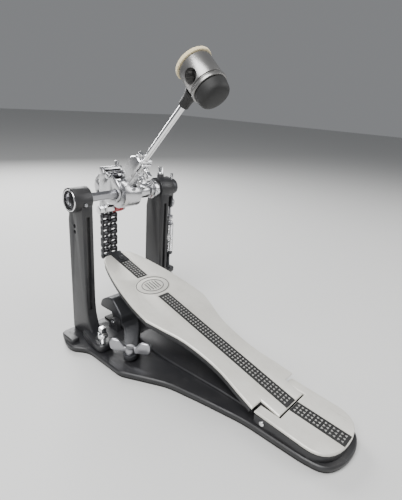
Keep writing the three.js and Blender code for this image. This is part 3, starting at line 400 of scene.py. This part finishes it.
def finish_material(name, colour, roughness, **more):
    """A metal, coat, rubber or plastic: uneven finish, optional scratches and a fine grain."""
    material = bpy.data.materials.new(name)
    material.use_nodes = True
    n = Nodes(material.node_tree)
    shader = material.node_tree.nodes["Principled BSDF"]
    uneven = n.add("Group", {"node_tree": bpy.data.node_groups["uneven_finish"]})
    uneven.inputs["Colour"].default_value = (*colour, 1)
    uneven.inputs["Stain"].default_value = (*more.get("stain", [c * 0.6 for c in colour]), 1)
    uneven.inputs["Staining"].default_value = more.get("staining", 0.25)
    uneven.inputs["Roughness"].default_value = roughness
    uneven.inputs["Unevenness"].default_value = more.get("unevenness", 0.08)
    uneven.inputs["Grain scale"].default_value = more.get("grain_scale", 1500.0)
    base = uneven.outputs["Colour"]
    if "scratch" in more:
        scratches = n.add("Group", {"node_tree": bpy.data.node_groups["fine_scratches"]})
        scratches.inputs["Strength"].default_value = more["scratch"]
        mix = n.add("Mix", {"data_type": "RGBA"})
        n.link(scratches.outputs["Mask"], mix.inputs[0])
        n.link(base, mix.inputs[6])
        mix.inputs[7].default_value = (*more["scratch_colour"], 1)
        base = mix.outputs[2]
    n.link(base, shader.inputs["Base Color"])
    n.link(uneven.outputs["Roughness"], shader.inputs["Roughness"])
    bump = n.add("Bump", Strength=more.get("bump", 0.15), Distance=0.0002)
    n.link(uneven.outputs["Grain"], bump.inputs["Height"])
    n.link(bump.outputs["Normal"], shader.inputs["Normal"])
    shader.inputs["Metallic"].default_value = more.get("metallic", 0.0)
    shader.inputs["Coat Weight"].default_value = more.get("coat", 0.0)
    shader.inputs["Coat Roughness"].default_value = 0.15
    shader.inputs["Specular IOR Level"].default_value = more.get("specular", 0.5)
    shader.inputs["Sheen Weight"].default_value = more.get("sheen", 0.0)
    return material


def felt_material(colour):
    """Pressed felt: two noises of short fibres raise the surface and shade its colour."""
    material = bpy.data.materials.new("felt")
    material.use_nodes = True
    n = Nodes(material.node_tree)
    shader = material.node_tree.nodes["Principled BSDF"]
    place = n.add("TexCoord").outputs["Object"]
    fibres = n.add("TexNoise", Vector=place, Scale=900.0, Detail=8.0, Roughness=0.8, Distortion=2.5)
    tufts = n.add("TexNoise", Vector=place, Scale=160.0, Detail=4.0)
    shade = n.add("Mix", {"data_type": "RGBA"})
    n.link(fibres.outputs["Fac"], shade.inputs[0])
    shade.inputs[6].default_value = (*[c * 0.62 for c in colour], 1)
    shade.inputs[7].default_value = (*[min(1, c * 1.25) for c in colour], 1)
    n.link(shade.outputs[2], shader.inputs["Base Color"])
    height = n.add("Math", {"operation": "ADD"})
    n.link(fibres.outputs["Fac"], height.inputs[0])
    n.link(tufts.outputs["Fac"], height.inputs[1])
    bump = n.add("Bump", Strength=0.7, Distance=0.0006)
    n.link(height.outputs[0], bump.inputs["Height"])
    n.link(bump.outputs["Normal"], shader.inputs["Normal"])
    shader.inputs["Roughness"].default_value = 1.0
    shader.inputs["Sheen Weight"].default_value = 0.4
    shader.inputs["Specular IOR Level"].default_value = 0.2
    return material


def finish(name):
    """The material of a record slot."""
    return bpy.data.materials["finish_" + name]


# ------------------------------------------------------------------ operators


class PEDAL_OT_finishes(Operator):
    """Make every finish, put it on the frame's nodes and soften their edges"""

    bl_idname = "pedal.finishes"
    bl_label = "Finishes"

    def execute(self, context):
        colours = context.scene.pedal_finishes
        build_surface_group()
        build_scratch_group()
        metal = {"metallic": 1.0, "grain_scale": 3000.0, "bump": 0.05}
        make = {
            "silver_paint": (colours.silver_coat, 0.42, dict(
                metallic=0.35, staining=0.35, stain=(0.36, 0.34, 0.3), unevenness=0.12, scratch=0.35,
                scratch_colour=(0.3, 0.29, 0.27), bump=0.12, grain_scale=2200.0)),
            "black_paint": (colours.black_coat, 0.36, dict(
                staining=0.5, stain=(0.035, 0.034, 0.033), unevenness=0.16, bump=0.3, grain_scale=900.0,
                scratch=0.25, scratch_colour=(0.16, 0.16, 0.16))),
            "dark_casting": (colours.dark_casting, 0.4, dict(
                metallic=0.5, staining=0.4, bump=0.35, grain_scale=700.0)),
            "cast_aluminium": ((0.66, 0.66, 0.67), 0.2, dict(
                metal, staining=0.35, stain=(0.5, 0.5, 0.51), unevenness=0.14)),
            "chrome": ((0.86, 0.86, 0.87), 0.07, dict(metal, staining=0.15, unevenness=0.05)),
            "steel": ((0.42, 0.42, 0.44), 0.28, dict(metal, staining=0.4, unevenness=0.12)),
            "chain_black": ((0.075, 0.075, 0.08), 0.24, dict(metallic=0.9, staining=0.3, unevenness=0.15)),
            "rubber": ((0.008, 0.008, 0.008), 0.62, dict(
                staining=0.4, stain=(0.014, 0.014, 0.014), bump=0.3)),
            "beater_grey": (colours.beater_shell, 0.3, dict(
                metallic=0.85, staining=0.3, stain=(0.16, 0.16, 0.155), unevenness=0.1, bump=0.1)),
            "red_plastic": (colours.red_insert, 0.2, dict(coat=0.5)),
        }
        for slot, (colour, roughness, more) in make.items():
            finish_material("finish_" + slot, tuple(colour), roughness, **more)
        studs = dict(staining=0.6, stain=(0.12, 0.12, 0.12), bump=0.3)
        finish_material("stud_grey", (0.34, 0.335, 0.32), 0.55, **studs)
        felt_material(tuple(colours.felt)).name = "finish_felt"
        slots = {part["node"]: part["material_slot"] for part in frame["record"]["subparts"]}
        for name, node in frame["nodes"].items():
            node.data.materials.clear()
            node.data.materials.append(finish("dark_casting" if name == "toe_clip_bolt" else slots[name]))
            self.soften(node, context.scene.pedal_sizes.soft_edge)
        return {"FINISHED"}

    def soften(self, node, width):
        """Joins the loose triangles, clears flat faces' inner edges and rounds the sharp ones."""
        node.data.polygons.foreach_set("use_smooth", np.ones(len(node.data.polygons), bool))
        weld = node.modifiers.new("weld", "WELD")
        weld.merge_threshold = 0.00002
        flat = node.modifiers.new("flat", "DECIMATE")
        flat.decimate_type = "DISSOLVE"
        flat.angle_limit = math.radians(0.6)
        edge = node.modifiers.new("edge", "BEVEL")
        edge.width = width
        edge.segments = 2
        edge.limit_method = "ANGLE"
        edge.angle_limit = math.radians(32)
        edge.use_clamp_overlap = True
        edge.harden_normals = True


class PEDAL_OT_chain(Operator):
    """Make the chain: waisted side plates, rollers and pins, in four parts that ride on their bodies"""

    bl_idname = "pedal.chain"
    bl_label = "Chain"

    rows = (-6.2, 6.2)
    radius = 3.3
    waist = 2.7
    roller = [(1.3, -2.3), (2.7, -2.3), (2.9, -2.1), (2.9, 2.1), (2.7, 2.3), (1.3, 2.3)]

    def execute(self, context):
        thick = context.scene.pedal_sizes.link_thickness / MM
        foot = np.array(joint_place("chain_foot_pivot"))[1:] / MM
        leave = np.array(joint_place("chain_bend_lower"))[1:] / MM
        bend = np.array(joint_place("chain_bend_upper"))[1:] / MM
        links = round(np.linalg.norm(leave - foot) / np.linalg.norm(bend - leave))
        run = foot + (leave - foot) * np.linspace(0, 1, links + 1)[:, None]
        cam = self.cam_pins(leave, bend)
        parts = [
            ("chain_straight", "chain_lower", "chain_run", run, 0, run[:-1]),
            ("chain_first_bend", "chain_middle", "chain_link_1", cam[:2], 0, cam[:2]),
            ("chain_second_bend", "chain_upper", "chain_link_2", cam[1:3], 1, cam[:0]),
            ("chain_on_cam", "drive_shaft", "chain_wrap", cam[2:], 0, cam[2:4]),
        ]
        for name, body, node, pins, first, shown_pins in parts:
            surfaces = []
            for k in range(len(pins) - 1):
                surfaces += self.link(pins[k], pins[k + 1], (k + first) % 2 == 0, thick)
            surfaces += [self.pin(place) for place in shown_pins]
            new_piece(name, together(surfaces), body, finish("chain_black"), [node])
        return {"FINISHED"}

    def cam_pins(self, first, second):
        """Pins on the pitch circle: the first leaves level with the circle's middle, the rest follow."""
        chord = second - first
        step = 2 * math.atan2(-chord[0], chord[1])
        reach = np.linalg.norm(chord) / (2 * math.sin(step / 2))
        turn = np.arange(5) * step
        centre = first - np.array([reach, 0])
        return centre + reach * np.column_stack([np.cos(turn), np.sin(turn)])

    def link(self, start, end, outer, thick):
        """One link of both rows: side plates, and rollers round the pins of an inner link."""
        outline = link_outline(start, end, self.radius, self.waist)
        reach = 3.9 if outer else 3.5 - thick
        made = []
        for row in self.rows:
            for low in (row + reach, row - reach - thick):
                made.append(rimmed_plate(outline, low, low + thick, 0.28))
            if not outer:
                roller = lathe(self.roller, 20, True)
                made += [placed(roller, (row, *place), (1, 0, 0)) for place in (start, end)]
        return made

    def pin(self, place):
        """A riveted pin through both rows, with a shouldered head at each end."""
        half = 11.9
        profile = [(0.5, -half), (1.25, -half + 0.25), (1.25, -half + 0.6), (1.1, -half + 0.7)]
        profile += [(r, -h) for r, h in reversed(profile)]
        return placed(lathe(profile, 16), (0, *place), (1, 0, 0))


class PEDAL_OT_spring(Operator):
    """Make the return spring's coil, which runs between the tension rod and the swivel"""

    bl_idname = "pedal.spring"
    bl_label = "Spring"

    def execute(self, context):
        sizes = context.scene.pedal_sizes
        wire = sizes.wire_radius / MM
        low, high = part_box("spring")
        centre = (low + high) / 2 / MM
        coil = (high.x - low.x) / 2 / MM - wire
        t = np.linspace(0, 1, sizes.coils * 36)
        turn = 2 * np.pi * sizes.coils * t
        ease = t + 0.018 * np.sin(4 * np.pi * t) - 0.035 * np.sin(2 * np.pi * t)
        bottom, top = low.z / MM + wire, high.z / MM - wire
        path = np.column_stack(
            [centre.x + coil * np.cos(turn), coil * np.sin(turn), bottom + (top - bottom) * ease]
        )
        coil_surface = swept(path, wire, 10)
        piece = new_piece("return_spring", coil_surface, None, finish("chrome"), ["spring"])
        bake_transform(piece)
        return {"FINISHED"}


class PEDAL_OT_beater(Operator):
    """Make the beater: rod, boot, body with its cross hole, felt face and hard rear face"""

    bl_idname = "pedal.beater"
    bl_label = "Beater"

    def execute(self, context):
        centre = np.array(joint_place("beater_face_turn")) / MM
        joint = next(j for j in frame["joints"] if j["name"] == "beater_face_turn")
        stem = np.array(joint["axis"])
        strike = np.cross(stem, (1, 0, 0))
        strike *= -1 if strike[1] < 0 else 1
        self.make_body(centre, strike, stem)
        self.make_felt(centre, strike)
        back = [(0.6, -25.9), (7, -25.8), (11.5, -25.3), (13.6, -24.2), (14.8, -22.6), (15.4, -20.5)]
        back += [(16.2, -15.6), (16.35, -13.9), (15.9, -13.4), (0.6, -13.35)]
        surface = placed(lathe(back, 72), centre, strike)
        new_piece("hard_rear_face", surface, "beater_head", finish("rubber"), ["beater_back"])
        self.make_stem(centre, stem)
        return {"FINISHED"}

    def make_body(self, centre, strike, stem):
        """Body: a barrel with a rear ring and groove, pierced across and from below."""
        profile = [(15.2, -13), (17.2, -13), (17.7, -12.7), (17.8, -12.2), (17.8, -10.2), (17.6, -9.7)]
        profile += [(17.1, -9.5), (16.1, -9.3), (15.9, -9.0), (15.9, -8.2), (16.2, -7.9), (16.9, -7.6)]
        profile += [(17.0, -7.2), (17.0, 14.0), (16.8, 14.6), (16.2, 15.0), (15.0, 15.0)]
        surface = placed(lathe(profile, 96), centre, strike)
        grey = finish("beater_grey")
        body = new_piece("beater_shell", surface, "beater_head", grey, ["beater_body"])
        hole = placed(lathe([(7.0, -30), (7.0, 30)], 48), centre, (1, 0, 0))
        carve(body, hole)
        bore = placed(lathe([(3.5, -30), (3.5, -3)], 32), centre, stem)
        carve(body, bore)

    def make_felt(self, centre, strike):
        """Felt disc: a turned profile whose surface is moved in and out by a sum of crossed waves."""
        profile = [(0.4, 15.3), (12, 15.3), (17.4, 15.3), (18.1, 15.6), (18.45, 16.4), (18.4, 17.6)]
        profile += [(17.9, 18.9), (16.9, 19.7), (14.5, 20.1), (10.5, 20.35), (5.5, 20.45), (0.4, 20.5)]
        steps = np.linspace(0, len(profile) - 1, 60)
        profile = np.array(profile)
        known = np.arange(len(profile))
        fine = np.column_stack([np.interp(steps, known, column) for column in profile.T])
        points, faces = lathe(fine, 160)
        rng = np.random.default_rng(7)
        waves = rng.normal(size=(40, 3))
        waves *= (rng.uniform(1.2, 5.0, 40) / np.linalg.norm(waves, axis=1))[:, None]
        fuzz = np.sin(points @ waves.T + rng.uniform(0, 6.28, 40)).sum(1) / np.sqrt(40)
        radius = np.maximum(np.linalg.norm(points[:, :2], axis=1, keepdims=True), 0.1)
        out = np.column_stack([points[:, :2] / radius, np.zeros(len(points))])
        exposed = np.clip((points[:, 2] - 15.4) / 0.5, 0, 1)[:, None]
        points = points + out * (0.09 * fuzz[:, None] - 0.12) * exposed
        points[:, 2] += (0.05 * fuzz - 0.06) * exposed[:, 0]
        surface = placed((points, faces), centre, strike)
        new_piece("felt_face", surface, "beater_head", finish("felt"), ["beater_felt"], sharp=80)

    def make_stem(self, centre, stem):
        """Rod with rounded ends, and the black boot round its upper end."""
        low = -150.0
        rod = [(0.5, low), (2.6, low + 0.1), (3.2, low + 0.8), (3.2, -14.6), (2.9, -14.1), (0.5, -14.05)]
        surface = placed(lathe(rod, 40), centre, stem)
        new_piece("beater_stem_rod", surface, "beater_stem", finish("chrome"), ["beater_rod"])
        boot = [(3.5, -34), (5.0, -34), (5.4, -33.6), (5.4, -26), (5.7, -24.6), (6.6, -20.6), (7.1, -19.2)]
        boot += [(7.2, -18.2), (7.0, -17.5), (3.5, -17.45)]
        surface = placed(lathe(boot, 48, True), centre, stem)
        new_piece("rod_sleeve", surface, "beater_stem", finish("rubber"), ["rod_boot"])


class PEDAL_OT_threads(Operator):
    """Make the threaded floor spurs and the threaded tension rod"""

    bl_idname = "pedal.threads"
    bl_label = "Threaded pieces"

    def execute(self, context):
        for word, body in (("left", "spur_l"), ("right", "spur_r")):
            self.make_spur(word, body)
        self.make_tension_rod()
        return {"FINISHED"}

    def thread(self, low, high, radius, pitch, depth, sides=28):
        """Threaded rod: radius falls by depth in a helix.

        r = radius - depth * |sawtooth(z / pitch - t / turn)|, eased to a plain end at both ends.
        """
        rows = int((high - low) / pitch * 10)
        z = np.linspace(low, high, rows)[:, None]
        turn = np.linspace(0, 2 * np.pi, sides, endpoint=False)[None, :]
        wave = np.abs(((z / pitch - turn / (2 * np.pi)) % 1.0) * 2 - 1)
        ends = np.clip(np.minimum(z - low, high - z) / pitch, 0, 1)
        r = radius - depth * (wave * ends + (1 - ends))
        points = np.stack([r * np.cos(turn), r * np.sin(turn), np.broadcast_to(z, r.shape)], -1)
        faces = quads(rows, sides).tolist()
        faces += [np.arange(sides)[::-1].tolist(), (np.arange(sides) + (rows - 1) * sides).tolist()]
        return points.reshape(-1, 3), faces

    def make_spur(self, word, body):
        """Spur: a point, a thread, a washer head and a square drive."""
        place = middle(word + "_spur") / MM
        low, high = (corner.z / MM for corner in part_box(word + "_spur"))
        x, y = place.x, place.y
        tip = lathe([(0.4, low), (0.7, low + 0.3), (2.5, low + 3.2), (2.5, low + 3.6)], 28)
        shank = self.thread(low + 3.5, high - 11.6, 3.4, 1.25, 0.5)
        washer = [(2.6, high - 12.1), (5.4, high - 12.1), (5.8, high - 11.7), (5.8, high - 10.4)]
        washer += [(5.2, high - 8.0), (4.8, high - 7.7), (2.6, high - 7.6)]
        drive = [(2.4, high - 8.0), (4.2, high - 8.0), (4.4, high - 7.6), (4.4, high - 0.9)]
        drive += [(3.8, high - 0.1), (0.4, high)]
        surfaces = [tip, shank, lathe(washer, 40), placed(lathe(drive, 4), (0, 0, 0), (0, 0, 1), (1, 1, 0))]
        surface = placed(together(surfaces), (x, y, 0), (0, 0, 1))
        new_piece(word + "_floor_spur", surface, body, finish("chrome"), [word + "_spur"], sharp=30)

    def make_tension_rod(self):
        """Tension rod: thread below, and a collar and spigot that hold the spring."""
        low, high = (corner.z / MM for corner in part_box("tension_rod"))
        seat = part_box("spring")[0].z / MM
        x = middle("tension_rod").x / MM
        thread = self.thread(low, seat - 3.4, 2.5, 1.0, 0.4)
        collar = [(1.8, seat - 3.9), (5.5, seat - 3.7), (5.9, seat - 3.3), (5.9, seat - 0.8)]
        collar += [(5.5, seat - 0.35), (3.9, seat - 0.3), (3.8, high - 0.6), (3.3, high), (0.4, high)]
        surface = placed(together([thread, lathe(collar, 40)]), (x, 0, 0), (0, 0, 1))
        dark, nodes = finish("dark_casting"), ["tension_rod"]
        new_piece("threaded_tension_rod", surface, "spring_lower", dark, nodes, sharp=30)


class PEDAL_OT_rings(Operator):
    """Turn the bright rings that close the bearing housings"""

    bl_idname = "pedal.rings"
    bl_label = "End rings"

    bore = 10.7

    def execute(self, context):
        axle = np.array(joint_place("pedal_swing")) / MM
        for word, side in (("left", -1), ("right", 1)):
            low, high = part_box(word + "_end_ring")
            near, far = sorted((low.x / MM, high.x / MM), key=abs)
            span, outer, inner = abs(far - near), (high.z - low.z) / 2 / MM, self.bore
            profile = [(inner, 0), (outer - 0.4, 0), (outer, 0.4), (outer, span - 0.7)]
            profile += [(outer - 0.25, span - 0.2), (outer - 0.7, span), (inner + 0.5, span)]
            profile += [(inner + 0.1, span - 0.3), (inner, span - 0.8)]
            surface = placed(lathe(profile, 96, True), (near, *axle[1:]), (side, 0, 0), (0, 1, 0))
            name = word + "_end_ring"
            new_piece(word + "_bright_ring", surface, "frame", finish("chrome"), [name])
        return {"FINISHED"}


def strip_plane(node):
    """A tilted strip's top face: the middle of its rear edge, its direction, normal and length."""
    mesh = frame["nodes"][node].data
    points = np.zeros(len(mesh.vertices) * 3)
    mesh.vertices.foreach_get("co", points)
    points = np.unique(np.round(points.reshape(-1, 3) / MM, 3), axis=0)
    right = points[points[:, 0] > 0]
    ends = right[np.argsort(right[:, 1])]
    back = ends[:2][np.argmax(ends[:2, 2])]
    front = ends[2:][np.argmax(ends[2:, 2])]
    span = np.linalg.norm(front - back)
    along = (front - back) / span
    return back * (0, 1, 1), along, np.cross((1, 0, 0), along), span


class PEDAL_OT_emblem(Operator):
    """Lay a plain line figure on the oval plate: two rims and a row of bars between them"""

    bl_idname = "pedal.emblem"
    bl_label = "Emblem"

    def execute(self, context):
        back, along, normal, _ = strip_plane("heel_side_strip")
        plate = middle("badge_plate") / MM
        centre = back + along * np.dot(np.array(plate) - back, along) + normal * 0.05
        low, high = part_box("badge_plate")
        half = (high.x - low.x) / 2 / MM
        depth = (high.y - low.y) / 2 / MM / along[1]
        turn = np.linspace(0, 2 * np.pi, 120, endpoint=False)
        surfaces = []
        for share in (0.93, 0.62):
            path = (
                centre
                + np.outer(half * share * np.cos(turn), (1, 0, 0))
                + np.outer(depth * share * np.sin(turn), along)
            )
            surfaces.append(self.rim(path, normal, 0.45))
        for step in (-2, -1, 0, 1, 2):
            reach = math.sqrt(1 - (step / 3.4) ** 2) * depth * 0.45
            x = step / 3.4 * half * 0.56
            steps = np.linspace(-reach, reach, 9)
            path = centre + np.outer(np.full(9, x), (1, 0, 0)) + np.outer(steps, along)
            surfaces.append(swept(path, 0.55, 8))
        new_piece("emblem_lines", together(surfaces), "treadle", finish("dark_casting"))
        return {"FINISHED"}

    def rim(self, path, normal, radius, sides=8):
        """Closed wire: a circle carried round a closed path, upright on the normal of the path's plane."""
        tangent = np.roll(path, -1, axis=0) - np.roll(path, 1, axis=0)
        tangent /= np.linalg.norm(tangent, axis=1, keepdims=True)
        across = np.cross(tangent, normal)
        t = np.linspace(0, 2 * np.pi, sides, endpoint=False)
        ring = np.cos(t)[None, :, None] * across[:, None] - np.sin(t)[None, :, None] * np.asarray(normal)
        points = path[:, None] + radius * ring
        return points.reshape(-1, 3), quads(len(path), sides, True).tolist()


class PEDAL_OT_grip(Operator):
    """Set rows of small three-sided studs into the black strips"""

    bl_idname = "pedal.grip"
    bl_label = "Grip studs"

    def execute(self, context):
        sizes = context.scene.pedal_sizes
        for name, body in (
            ("heel_side_strip", "treadle"),
            ("toe_side_strip", "treadle"),
            ("heel_strip", "frame"),
        ):
            self.make_studs(name, body, sizes.stud_pitch / MM, sizes.stud_height / MM)
        return {"FINISHED"}

    def make_studs(self, node, body, pitch, height):
        """Studs on a strip's top face, in staggered rows across it.

        The face's corners give a place for each stud as a share of its length and width.
        """
        back, along, normal, span = strip_plane(node)
        rows = int((span - 2) / pitch)
        step = 4.1
        offset = (span - (rows - 1) * pitch) / 2
        k = np.repeat(np.arange(rows), 3)
        across = np.tile([-1, 0, 1], rows) * step
        centre = back + along * (offset + k * pitch)[:, None] + np.outer(across, (1, 0, 0))
        flip = np.where(k % 2 == 0, 1.0, -1.0)
        low = self.triangle(1.75)
        high = self.triangle(1.2)
        sides = np.array([(1, 0, 0), along])
        base = centre[:, None] + (low[None] * np.stack([flip, flip], -1)[:, None]) @ sides
        top = centre[:, None] + (high[None] * np.stack([flip, flip], -1)[:, None]) @ sides + normal * height
        base = base - normal * 0.15
        count = len(centre)
        stud = np.concatenate([base, top], 1).reshape(-1, 3)
        pattern = [[0, 1, 4, 3], [1, 2, 5, 4], [2, 0, 3, 5]]
        start = (np.arange(count) * 6)[:, None, None]
        faces = (start + np.array(pattern)[None]).reshape(-1, 4).tolist()
        faces += ((np.arange(count) * 6)[:, None] + [3, 4, 5]).tolist()
        faces += ((np.arange(count) * 6)[:, None] + [2, 1, 0]).tolist()
        new_piece(node + "_studs", (stud, faces), body, bpy.data.materials["stud_grey"], sharp=20)

    def triangle(self, reach):
        """Corners of a three-sided figure with one corner forward."""
        turn = np.pi / 2 + np.arange(3) * 2 * np.pi / 3
        return reach * np.column_stack([np.cos(turn), np.sin(turn)])


class PEDAL_OT_stage(Operator):
    """Make the floor, the soft lights and the camera"""

    bl_idname = "pedal.stage"
    bl_label = "Stage"

    def execute(self, context):
        stage = context.scene.pedal_stage
        self.make_floor(stage.floor)
        self.make_world()
        for name, place, size, power in (
            ("key", (-0.75, -0.35, 1.15), 0.9, stage.key_power),
            ("fill", (0.9, -0.9, 0.8), 0.9, stage.key_power * 0.35),
            ("rim", (0.25, 0.95, 0.75), 0.7, stage.key_power * 0.7),
        ):
            self.make_light(name, place, size, power)
        self.make_camera()
        return {"FINISHED"}

    def make_floor(self, colour):
        """Floor: a wide flat sheet just under the pad."""
        points = np.array([(-6, -6, -0.0002), (6, -6, -0.0002), (6, 6, -0.0002), (-6, 6, -0.0002)], float)
        mesh = bpy.data.meshes.new("floor")
        mesh.from_pydata(points.tolist(), [], [[0, 1, 2, 3]])
        floor = bpy.data.objects.new("floor", mesh)
        bpy.context.scene.collection.objects.link(floor)
        material = bpy.data.materials.new("floor")
        material.use_nodes = True
        shader = material.node_tree.nodes["Principled BSDF"]
        shader.inputs["Base Color"].default_value = (*colour, 1)
        shader.inputs["Roughness"].default_value = 0.75
        mesh.materials.append(material)

    def make_world(self):
        """World: an even pale light."""
        world = bpy.data.worlds.new("studio")
        world.use_nodes = True
        background = world.node_tree.nodes["Background"]
        background.inputs["Color"].default_value = (0.8, 0.82, 0.85, 1)
        background.inputs["Strength"].default_value = 0.28
        bpy.context.scene.world = world

    def make_light(self, name, place, size, power):
        """Square area light turned towards the pedal."""
        data = bpy.data.lights.new(name, "AREA")
        data.size = size
        data.energy = power
        light = bpy.data.objects.new(name, data)
        light.location = place
        aim = Vector((0, -0.1, 0.12)) - Vector(place)
        light.rotation_euler = aim.to_track_quat("-Z", "Y").to_euler()
        bpy.context.scene.collection.objects.link(light)

    def make_camera(self):
        """Camera in front of the pedal's left rear corner, a little rolled."""
        around, above, roll = math.radians(-49.115), math.radians(20.553), math.radians(4.104)
        level = math.cos(above)
        back = Vector((math.sin(around) * level, -math.cos(around) * level, math.sin(above)))
        right = Vector((math.cos(around), math.sin(around), 0))
        up = back.cross(right)
        x = right * math.cos(roll) + up * math.sin(roll)
        y = up * math.cos(roll) - right * math.sin(roll)
        data = bpy.data.cameras.new("camera")
        data.sensor_fit = "HORIZONTAL"
        data.sensor_width = 36
        data.lens = 35.165
        data.clip_start = 0.01
        camera = bpy.data.objects.new("camera", data)
        place = Matrix.Translation((-0.28678, -0.37451, 0.28097))
        camera.matrix_world = place @ Matrix((x, y, back)).transposed().to_4x4()
        bpy.context.scene.collection.objects.link(camera)
        bpy.context.scene.camera = camera


class PEDAL_PT_panel(Panel):
    """Sidebar panel of the pedal."""

    bl_idname = "PEDAL_PT_panel"
    bl_label = "Bass drum pedal"
    bl_space_type = "VIEW_3D"
    bl_region_type = "UI"
    bl_category = "Pedal"

    def draw(self, context):
        scene = context.scene
        for settings in (scene.pedal_finishes, scene.pedal_sizes, scene.pedal_stage):
            box = self.layout.box()
            for name in settings.bl_rna.properties.keys():
                if name not in ("rna_type", "name"):
                    box.prop(settings, name)
        for operator in OPERATORS:
            self.layout.operator(operator.bl_idname)


OPERATORS = (
    PEDAL_OT_finishes,
    PEDAL_OT_chain,
    PEDAL_OT_spring,
    PEDAL_OT_beater,
    PEDAL_OT_threads,
    PEDAL_OT_rings,
    PEDAL_OT_emblem,
    PEDAL_OT_grip,
    PEDAL_OT_stage,
)
CLASSES = (PedalFinishes, PedalSizes, PedalStage, *OPERATORS, PEDAL_PT_panel)


def register():
    """Registers the classes and hangs the settings on the scene."""
    for cls in CLASSES:
        bpy.utils.register_class(cls)
    bpy.types.Scene.pedal_finishes = PointerProperty(type=PedalFinishes)
    bpy.types.Scene.pedal_sizes = PointerProperty(type=PedalSizes)
    bpy.types.Scene.pedal_stage = PointerProperty(type=PedalStage)


def unregister():
    """Takes the settings off the scene and the classes out."""
    del bpy.types.Scene.pedal_stage
    del bpy.types.Scene.pedal_sizes
    del bpy.types.Scene.pedal_finishes
    for cls in reversed(CLASSES):
        bpy.utils.unregister_class(cls)


def main():
    """Builds the whole pedal."""
    register()
    for operator in OPERATORS:
        name = operator.bl_idname.split(".")[1]
        getattr(bpy.ops.pedal, name)()


if __name__ == "__main__":
    main()
